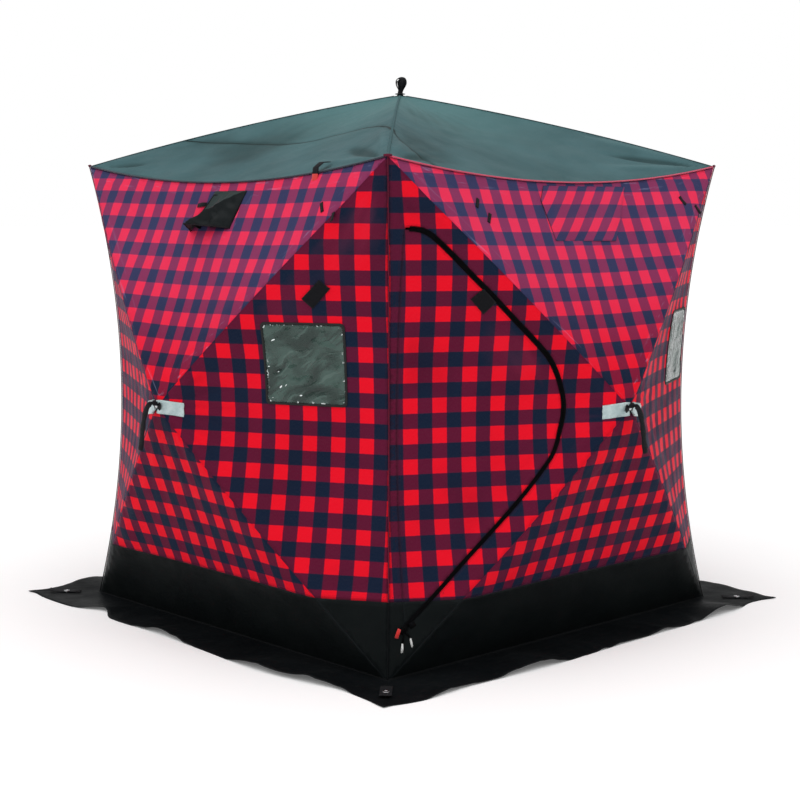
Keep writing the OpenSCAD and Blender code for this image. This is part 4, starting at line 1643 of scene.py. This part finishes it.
@dataclass
class SmallPatches:
    """Hook-and-loop pads, reflective strips and tie slots that lie on the facets."""

    crew: Crew

    PADS = (("front_patch", Wall.FRONT, Part.RIGHT, ((0.612, 0.404), (0.680, 0.469), (0.717, 0.440), (0.648, 0.370)), "hut"),
            ("door_patch", Wall.DOOR, Part.LEFT, ((-0.636, 0.404), (-0.594, 0.440), (-0.546, 0.392), (-0.588, 0.352)), "door"))
    SLOTS = ((Wall.FRONT, 0.642, 0.762, 0.55), (Wall.FRONT, 0.718, 0.726, 0.55), (Wall.DOOR, 0.626, 0.795, 0.55),
             (Wall.DOOR, 0.707, 0.758, 0.55), (Wall.DOOR, -0.523, 0.783, -0.55), (Wall.DOOR, -0.483, 0.728, -0.55))

    def lay(self, name: str, wall: Wall, part: Part, corners: Sequence, look: object, proud: float, thick: float,
            gap: float = 0.010) -> bpy.types.Object:
        """Lays a small flat patch on a facet.

        Args:
            name: the piece's name.
            wall: its wall.
            part: its facet.
            corners: its outline in cloth coordinates, anticlockwise or not.
            look: its material.
            proud: how far its face stands out.
            thick: its thickness.
            gap: the size of its mesh.

        Returns:
            The piece.
        """
        outline = spaced(corners, gap)
        x, y = outline[:, 0], outline[:, 1]
        if (x * np.roll(y, -1) - y * np.roll(x, -1)).sum() < 0:
            outline = outline[::-1]
        facet = Facet(self.crew.shape, part)
        under = self.crew.ground[wall, "flap" if name.startswith("door_patch") else part]
        points, faces, slots, cloth = ClothPatch(facet, outline, gap=gap, proud=proud, thick=thick).mesh(under.at)
        return mesh_object(name, wall.turned(points), faces, [look], None, cloth)

    def build(self) -> None:
        """Builds every patch."""
        look = self.crew.finishes
        for node, wall, part, corners, body in self.PADS:
            piece = self.lay(f"{node}_pad", wall, part, corners, look.pad, 0.0050, 0.0036)
            self.crew.keep(piece, "hook_loop", [node], body)
        strips = []
        for wall in Wall:
            for part, side in ((Part.LEFT, -1), (Part.RIGHT, 1)):
                drop = 0.075 if (part is Part.RIGHT) == (wall in (Wall.FRONT, Wall.BACK)) else 0.150
                box = [(side * x, y - drop * x) for x, y in ((0.004, -0.025), (0.120, -0.025), (0.120, 0.025), (0.004, 0.025))]
                strips.append(self.lay("strip", wall, part, box, look.silver, 0.0026, 0.0014))
        self.crew.keep(merged("reflective_strip_set", strips), "reflective_tape", ["reflective_strips"])
        ties = []
        for wall, x, y, slope in self.SLOTS:
            d, w = np.array([math.sin(slope), -math.cos(slope)]) * 0.020, 0.0065
            side = np.array([d[1], -d[0]]) / 0.020 * w
            at = np.array([x, y])
            box = [at + d + side, at - d + side, at - d - side, at + d - side]
            ties.append(self.lay("tie", wall, Part.UPPER, box, look.webbing, 0.0030, 0.0026, 0.006))
        self.crew.keep(merged("pole_tie_slots", ties), "webbing", [])


@dataclass
class Roof:
    """The four-panel roof cloth with its seams, puckers and the pull loop at its peak."""

    crew: Crew
    step: float = 0.015

    ALONG = ((-0.628, -0.626), (-0.431, -0.563), (-0.230, -0.518), (-0.033, -0.501), (0.156, -0.460), (0.273, -0.453),
             (0.379, -0.478), (0.500, -0.540), (0.604, -0.612))
    ASIDE = ((-0.602, -0.610), (-0.640, -0.660), (-0.650, -0.720), (-0.651, -0.804), (-0.650, -0.893))
    PUCKERS = (((0.86, -0.87), (0.50, -0.56), 0.013, 0.020), ((0.84, -0.88), (0.46, -0.68), -0.012, 0.022),
               ((0.82, -0.885), (0.38, -0.78), 0.011, 0.022), ((-0.86, -0.87), (-0.66, -0.72), 0.010, 0.018),
               ((-0.84, -0.885), (-0.62, -0.80), -0.009, 0.018))

    def on_panel(self, plan: Array, facet: Facet) -> Array:
        """Cloth coordinates of points given in plan.

        Args:
            plan: points in plan, in the front panel's place.
            facet: the panel.

        Returns:
            The coordinates, one row a point.
        """
        reach = -plan[:, 1] / self.crew.shape.half
        share = np.clip((plan[:, 0] / np.maximum(-plan[:, 1], 0.05) + 1) / 2, 0, 1)
        return facet.flat(facet.at(share, reach))

    def panel(self, wall: Wall) -> tuple[Array, list, list, Array]:
        """One roof panel, in the hut's frame."""
        facet = Facet(self.crew.shape, Part.ROOF)
        t, a = np.linspace(self.crew.shape.roof_gap, 1, 76), np.linspace(0, 1, 112)
        arms = [facet.flat(facet.at(0 * t, t)), facet.flat(facet.at(np.ones_like(t), t[::-1]))]
        eave = facet.flat(facet.at(a, np.ones_like(a)))
        outline = np.vstack([arms[0], eave[1:], arms[1][1:]])
        line = self.on_panel(smooth_path(self.ALONG if wall in (Wall.FRONT, Wall.BACK) else self.ASIDE, 0.015), facet)
        streaks = []
        for start, end, height, width in self.PUCKERS:
            ends = self.on_panel(np.array([start, end]), facet)
            streaks.append((ends[0], ends[1], height, width))
        plan = FoldPlan(90 + wall.value[1], [eave[0], eave[-1], np.zeros(2)], [outline], pucker=0.0062, reach=0.22,
                        pleats=19.0, wave=0.006, fine=0.0012, streaks=streaks)
        seam = np.vstack([line, line[::-1]])

        def folds(uv: Array, border: Array) -> Array:
            """The panel's folds, drawn in along its seam."""
            drawn = np.exp(-(far_from(uv, [seam]) / 0.012) ** 2) * (1 - np.exp(-(border / 0.03) ** 2))
            return plan(uv, border) - 0.0035 * drawn

        patch = ClothPatch(facet, outline, gap=self.step, lines=[line], seams=[np.vstack([eave, eave[::-1]]), seam],
                           quiet=[np.vstack([k, k[::-1]]) for k in arms])
        points, faces, slots, cloth = patch.mesh(folds)
        return wall.turned(points), faces, slots, cloth

    def hips(self) -> None:
        """Builds the felled seams over the roof poles."""
        facet, pieces = Facet(self.crew.shape, Part.ROOF), []
        for wall in Wall:
            t = np.linspace(0.02, 1, 80)
            path = facet.at(np.zeros_like(t), t) + np.array([0, 0, 0.0006])
            points, faces = tube(path, 0.0040, 8, 0.3, Vector((0, 0, 1)))
            pieces.append((wall.turned(points), faces))
        self.crew.keep(mesh_object("roof_pole_seams", *stacked(pieces), [self.crew.finishes.roof_seam]), "webbing", [])

    def corner_caps(self) -> None:
        """Builds the small bound ends of the roof cloth at its corners."""
        s, pieces = self.crew.shape, []
        for wall in Wall:
            path = np.array([(s.half + k, k - s.half, s.eave + 0.003) for k in (-0.010, 0.0, 0.010)])
            points, faces = tube(path, [0.005, 0.0065, 0.005], 10, 0.8, Vector((0, 0, 1)))
            pieces.append((wall.turned(points), faces))
        self.crew.keep(mesh_object("roof_corner_caps", *stacked(pieces), [self.crew.finishes.welt]), "webbing", [])

    def loop(self) -> None:
        """Builds the gathered webbing loop at the peak."""
        top, pieces = self.crew.shape.apex, []
        for turn, size, lean in ((0.2, 1.0, 0.0), (0.9, 0.86, 0.004), (-0.5, 0.93, -0.003)):
            arc = np.array([(-0.004, 0.0), (-0.009, 0.018), (-0.020, 0.040), (-0.017, 0.058), (0.0, 0.064), (0.017, 0.058),
                            (0.020, 0.040), (0.009, 0.018), (0.004, 0.0)]) * size
            path = smooth_path(arc, 0.004)
            c, s = math.cos(turn), math.sin(turn)
            world = np.stack([path[:, 0] * c + lean, path[:, 0] * s, path[:, 1] + top + 0.004], 1)
            wide = 0.006 + 0.006 * np.clip(path[:, 1] / 0.04, 0, 1)
            pieces.append(tube(world, wide, 10, 0.14, None))
        bind = tube(np.array([(0, 0, top - 0.002), (0, 0, top + 0.010), (0, 0, top + 0.018)]), [0.013, 0.010, 0.008], 14)
        piece = mesh_object("peak_pull_loop", *stacked([*pieces, bind]), [self.crew.finishes.webbing])
        self.crew.keep(piece, "webbing", ["roof_pull_loop"])

    def hanging_loop(self) -> None:
        """Builds the small two-colour loop on the front roof edge."""
        look, facet = self.crew.finishes, Facet(self.crew.shape, Part.UPPER)
        edge = facet.at(np.array([0.80]), np.array([1.0]))[0]
        for name, rows, paint in (("edge_loop_top", ((0.050, 0.038), (0.020, 0.036), (-0.006, 0.018), (-0.010, -0.006)), look.webbing),
                                  ("edge_loop_tail", ((-0.010, -0.004), (-0.012, -0.026), (-0.010, -0.040)), look.red_tab)):
            path = np.array([edge + np.array([0, y, z]) for y, z in rows])
            self.crew.keep(mesh_object(name, *tube(path, 0.016, 10, 0.12, Vector((0, -0.6, 0.5))), [paint]), "webbing", [])

    def build(self) -> None:
        """Builds the roof."""
        look = self.crew.finishes
        got = [self.panel(wall) for wall in Wall]
        points, faces = stacked([(g[0], g[1]) for g in got])
        slots = [k for g in got for k in g[2]]
        piece = mesh_object("roof_cloth_sheet", points, faces, [look.roof, look.lining], slots, np.vstack([g[3] for g in got]))
        self.crew.keep(piece, "roof_cloth", ["roof_canopy"])
        self.crew.cloth(piece)
        self.hips()
        self.corner_caps()
        self.loop()
        self.hanging_loop()


@dataclass
class Frame:
    """The poles, the hubs with their sockets, and the pull straps."""

    crew: Crew
    pole: float = 0.0055
    drop: float = 0.035
    inset: float = 0.022

    def pole_path(self, start: Array, end: Array, bow: Array) -> Array:
        """A slightly bowed pole between its hub and its corner."""
        v = np.linspace(0.042, 0.955, 40)[:, None]
        return start + v * (end - start) + bow * (4 * v * (1 - v))

    def poles(self) -> None:
        """Builds the wall poles and the roof poles, with ferrules at mid length and ends."""
        s, look = self.crew.shape, self.crew.finishes
        hub = np.array([0, -(s.hub_out - self.drop), s.hub_z])
        peak = np.array([0, 0, s.apex - self.drop])
        walls, roofs, metal = [], [], []
        for wall in Wall:
            for side in (-1, 1):
                ends = [np.array([side * (s.half - self.inset), -(s.half - self.inset), s.eave - 0.025]),
                        np.array([side * (s.base_half - self.inset), -(s.base_half - self.inset), 0.008])]
                for end in ends:
                    path = wall.turned(self.pole_path(hub, end, np.array([0, -s.pole_bow, 0])))
                    walls.append(tube(path, self.pole, 14))
                    metal += [tube(path[k:k + 3], self.pole + 0.0011, 14) for k in (0, 19, 37)]
            end = np.array([s.half - self.inset, -(s.half - self.inset), s.eave - 0.025])
            path = wall.turned(self.pole_path(peak, end, np.array([0, 0, s.roof_bow])))
            roofs.append(tube(path, self.pole, 14))
            metal += [tube(path[k:k + 3], self.pole + 0.0011, 14) for k in (0, 19, 37)]
        self.crew.keep(mesh_object("wall_pole_set", *stacked(walls), [look.rod]), "pole_fibreglass", ["wall_poles"])
        self.crew.keep(mesh_object("roof_pole_set", *stacked(roofs), [look.rod]), "pole_fibreglass", ["roof_poles"])
        self.crew.keep(mesh_object("pole_ferrules", *stacked(metal), [look.steel]), "grommet_metal", [])

    def hub_shape(self, centre: Vector, axis: Vector) -> list:
        """The moulded hub behind the cloth and the cap outside it."""
        back = [(0.004, -0.048), (0.026, -0.047), (0.031, -0.043), (0.032, -0.030), (0.030, -0.024), (0.016, -0.022),
                (0.010, -0.019), (0.009, -0.004), (0.008, 0.002)]
        cap = [(0.004, 0.0024), (0.0195, 0.0026), (0.0212, 0.0036), (0.0206, 0.0052), (0.015, 0.0064), (0.0085, 0.0068)]
        return [lathe(back, centre, axis), lathe(cap, centre, axis)]

    def hubs(self) -> None:
        """Builds the four wall hubs, the roof hub and their bolts."""
        s, look = self.crew.shape, self.crew.finishes
        shells, bolts = [], []
        bolt = [(0.0052, 0.0066), (0.0078, 0.0074), (0.0074, 0.0096), (0.0058, 0.0106), (0.002, 0.0108)]
        for wall in Wall:
            tip = 0.5 * (s.ridge * s.ease + s.tip * s.tip_ease)
            centre = Vector(wall.turned(np.array([0, tip - s.hub_out, s.hub_z]))[0])
            axis = Vector(wall.turned(np.array([0, -1.0, 0]))[0])
            shells += self.hub_shape(centre, axis)
            bolts.append(lathe(bolt, centre, axis, 6))
        self.crew.keep(mesh_object("wall_hub_set", *stacked(shells), [look.plastic]), "hub_plastic", ["wall_hubs"])
        top = self.hub_shape(Vector((0, 0, s.apex)), Vector((0, 0, 1)))
        self.crew.keep(mesh_object("peak_hub", *stacked(top), [look.plastic]), "hub_plastic", ["roof_hub"])
        self.crew.keep(mesh_object("hub_bolts", *stacked(bolts), [look.steel], smooth=False), "grommet_metal", [])

    def straps(self) -> None:
        """Builds the webbing pull straps that hang from the wall hubs, each with a folded end."""
        s, pieces = self.crew.shape, []
        for k, wall in enumerate(Wall):
            lean = (-0.022, 0.020, 0.014, -0.014)[k]
            rows = ((0.006, 0.004), (0.022, 0.013), (0.042, 0.002), (0.054, -0.030), (0.061, -0.078), (0.064, -0.128), (0.066, -0.158))
            tip = 0.5 * (s.ridge * s.ease + s.tip * s.tip_ease)
            flat = smooth_path([(lean * (j / 6) ** 1.4, tip - s.hub_out - out, s.hub_z + z) for j, (out, z) in enumerate(rows)], 0.006)
            wide = 0.0122 + 0.0012 * np.sin(np.arange(len(flat)) * 0.7)
            points, faces = tube(flat, wide, 14, 0.42, Vector((0, -0.85, -0.5)))
            knot = tube(flat[1:4] + np.array([0, 0, 0.001]), [0.011, 0.0145, 0.010], 14, 0.8, Vector((0, 0, 1)))
            end = tube(flat[-4:], [0.0115, 0.0128, 0.0128, 0.0115], 14, 0.55, Vector((0, -1, 0)))
            pieces += [(wall.turned(p), f) for p, f in ((points, faces), knot, end)]
        self.crew.keep(mesh_object("hub_strap_set", *stacked(pieces), [self.crew.finishes.webbing]), "webbing", ["hub_pull_straps"])

    def build(self) -> None:
        """Builds the frame."""
        self.poles()
        self.hubs()
        self.straps()


@dataclass
class Skirt:
    """The ground skirt: four strips with wavy free edges, and the corner tabs with their grommets."""

    crew: Crew
    columns: int = 170
    rows: int = 16
    anchor: float = 0.996
    tip: float = -0.006

    HEM = {Wall.FRONT: ((-1.118, -0.030), (-0.975, 0.001), (-0.75, 0.001), (-0.60, -0.052), (-0.477, -0.004), (-0.22, -0.006),
                        (0.09, 0.004), (0.469, 0.025), (0.714, -0.004), (0.874, -0.034), (1.118, -0.010)),
           Wall.DOOR: ((-1.118, -0.010), (-0.962, 0.022), (-0.852, 0.020), (-0.707, 0.014), (-0.344, 0.034), (0.07, 0.020),
                       (0.471, 0.014), (0.810, 0.004), (0.960, -0.030), (1.118, -0.020))}

    def strip(self, wall: Wall) -> bpy.types.Object:
        """Builds one strip.

        Args:
            wall: its wall.

        Returns:
            The piece.
        """
        s, look = self.crew.shape, self.crew.finishes
        inner, outer = s.base_half + 0.001, s.base_half + s.skirt
        hem = np.array(self.HEM[Wall.FRONT if wall in (Wall.FRONT, Wall.BACK) else Wall.DOOR])
        share = np.linspace(-1, 1, self.columns)
        path = smooth_path(hem, 0.02)
        points, cloth = [], []
        seed = 40 + wall.value[1]
        for j in range(self.rows):
            w = j / (self.rows - 1)
            reach = inner + (outer - inner) * w
            for q in share:
                x = q * reach
                extra = float(np.interp(q * outer, path[:, 0], path[:, 1])) * w
                tip = math.exp(-((1 - abs(q)) / 0.045) ** 2)
                y = -reach - extra * (1 - tip)
                x += self.tip * tip * w ** 2 * math.copysign(1, q)
                y -= self.tip * tip * w ** 2
                calm = 1 - math.exp(-((1 - abs(q)) / 0.16) ** 2)
                swell = max(0.0, noise.noise(Vector((x * 3.4, y * 1.6, seed))) + 0.10) * 0.050
                small = max(0.0, noise.noise(Vector((x * 13.0, y * 5.0, seed + 3)))) * 0.012
                z = 0.0022 + (w ** 0.9) * (swell + small) * calm + 0.003 * tip * w ** 3
                z += 0.004 * math.exp(-w / 0.12)
                points.append((x, y, z))
                cloth.append((x, y, min(w, 1 - w) * s.skirt))
        n = self.columns
        faces = [(j * n + i, j * n + i + 1, (j + 1) * n + i + 1, (j + 1) * n + i)[::-1]
                 for j in range(self.rows - 1) for i in range(n - 1)]
        piece = mesh_object(f"{wall.stem}_skirt_cloth", wall.turned(np.array(points)), faces, [look.skirt], None, np.array(cloth))
        solid = piece.modifiers.new("thickness", "SOLIDIFY")
        solid.thickness, solid.offset = 0.0016, -1
        apply_modifiers(piece)
        self.crew.keep(piece, "skirt_cloth", [f"{wall.stem}_skirt"])
        self.crew.cloth(piece, "laid", ["floor"])
        return piece

    def tabs(self) -> None:
        """Builds the webbing tabs at the corners and their metal grommets."""
        look = self.crew.finishes
        tabs, rings = [], []
        for wall in Wall:
            d = np.array([1, -1, 0]) / math.sqrt(2)
            at = np.array([self.anchor, -self.anchor, 0])
            rows = ((-0.060, 0.0075), (-0.030, 0.0066), (0.0, 0.0062), (0.030, 0.0068), (0.058, 0.0105), (0.072, 0.0150))
            path = np.array([at + d * along + np.array([0, 0, z]) for along, z in rows])
            strap = tube(path, 0.0215, 16, 0.07, Vector((0, 0, 1)))
            ring = lathe([(0.0062, 0.0005), (0.0062, 0.0060), (0.0075, 0.0085), (0.0100, 0.0092), (0.0124, 0.0084), (0.0128, 0.0070),
                          (0.0120, 0.0050), (0.0120, 0.0010)], Vector(at), Vector((0, 0, 1)), 36)
            ring = (ring[0], ring[1][:-2])
            count = 36
            shut = [(7 * count + j, 7 * count + (j + 1) % count, (j + 1) % count, j) for j in range(count)]
            rings.append((wall.turned(ring[0]), ring[1] + shut))
            tabs.append((wall.turned(strap[0]), strap[1]))
        self.crew.keep(mesh_object("corner_tab_set", *stacked(tabs), [look.webbing]), "webbing", ["anchor_tabs"])
        self.crew.keep(mesh_object("corner_grommets", *stacked(rings), [look.steel]), "grommet_metal", [])

    def build(self) -> None:
        """Builds the strips and the tabs."""
        for wall in Wall:
            self.strip(wall)
        self.tabs()


@dataclass(frozen=True)
class Studio:
    """The pale floor, the soft lights and the camera."""

    distance: float = 6.688
    height: float = 1.5985
    pitch: float = 6.594
    roll: float = -0.0726
    turn: float = 46.825
    lens: float = 73.07

    def floor(self) -> None:
        """Makes the floor."""
        look = Look("floor_paper")
        cloud = look.noise(look.place(), 1.5, 3.0)
        colour = look.mix(cloud, (0.93, 0.93, 0.93), (0.95, 0.95, 0.95))
        material = look.finish(Base_Color=colour, Roughness=0.9, Specular_IOR_Level=0.1,
                               Emission_Color=(1.0, 1.0, 1.0, 1.0), Emission_Strength=0.10)
        size = 150.0
        plane = mesh_object("floor", np.array([(-size, -size, 0), (size, -size, 0), (size, size, 0), (-size, size, 0)]),
                            [(0, 1, 2, 3)], [material], smooth=False)

    def overhead(self) -> None:
        """Makes the one wide soft light overhead, a little to the front."""
        data = bpy.data.lights.new("overhead_light", "SUN")
        data.energy, data.angle = 2.15, math.radians(100)
        lamp = bpy.data.objects.new("overhead_light", data)
        lamp.rotation_euler = Vector((-0.20, 0.30, -1.0)).to_track_quat("-Z", "Y").to_euler()
        bpy.context.scene.collection.objects.link(lamp)

    def sky(self) -> None:
        """Makes the white backdrop, which lights the hut at a lower level than it shows."""
        world = bpy.data.worlds.new("studio")
        world.use_nodes = True
        tree = world.node_tree
        path = tree.nodes.new("ShaderNodeLightPath")
        level = tree.nodes.new("ShaderNodeMapRange")
        level.inputs["To Min"].default_value, level.inputs["To Max"].default_value = 0.46, 1.0
        tree.links.new(path.outputs["Is Camera Ray"], level.inputs["Value"])
        tree.links.new(level.outputs[0], tree.nodes["Background"].inputs["Strength"])
        tree.nodes["Background"].inputs["Color"].default_value = (1, 1, 1, 1)
        bpy.context.scene.world = world
        bpy.context.scene.view_settings.view_transform = "Standard"

    def build(self) -> None:
        """Makes the floor, the lights, the world and the camera."""
        self.floor()
        self.overhead()
        self.sky()
        data = bpy.data.cameras.new("camera")
        data.lens, data.sensor_width = self.lens, 36.0
        camera = bpy.data.objects.new("camera", data)
        turn = math.radians(self.turn)
        camera.location = (self.distance * math.sin(turn), -self.distance * math.cos(turn), self.height)
        camera.rotation_euler = (math.radians(90 - self.pitch), math.radians(self.roll), turn)
        bpy.context.scene.collection.objects.link(camera)
        bpy.context.scene.camera = camera


def main() -> None:
    """Builds the hut, piece by piece, and the studio round it."""
    logging.basicConfig(level=logging.INFO, format="%(name)s %(message)s")
    crew = Crew(HutShape(), Finishes())
    Studio().build()
    for wall in Wall:
        WallCloth(crew, wall).build()
        Window(crew, wall).build()
    VentHood(crew).build()
    VentCover(crew).build()
    Door(crew).build()
    SmallPatches(crew).build()
    Roof(crew).build()
    Frame(crew).build()
    Skirt(crew).build()
    LOG.info("%d pieces", len(crew.made))


if __name__ == "__main__":
    main()
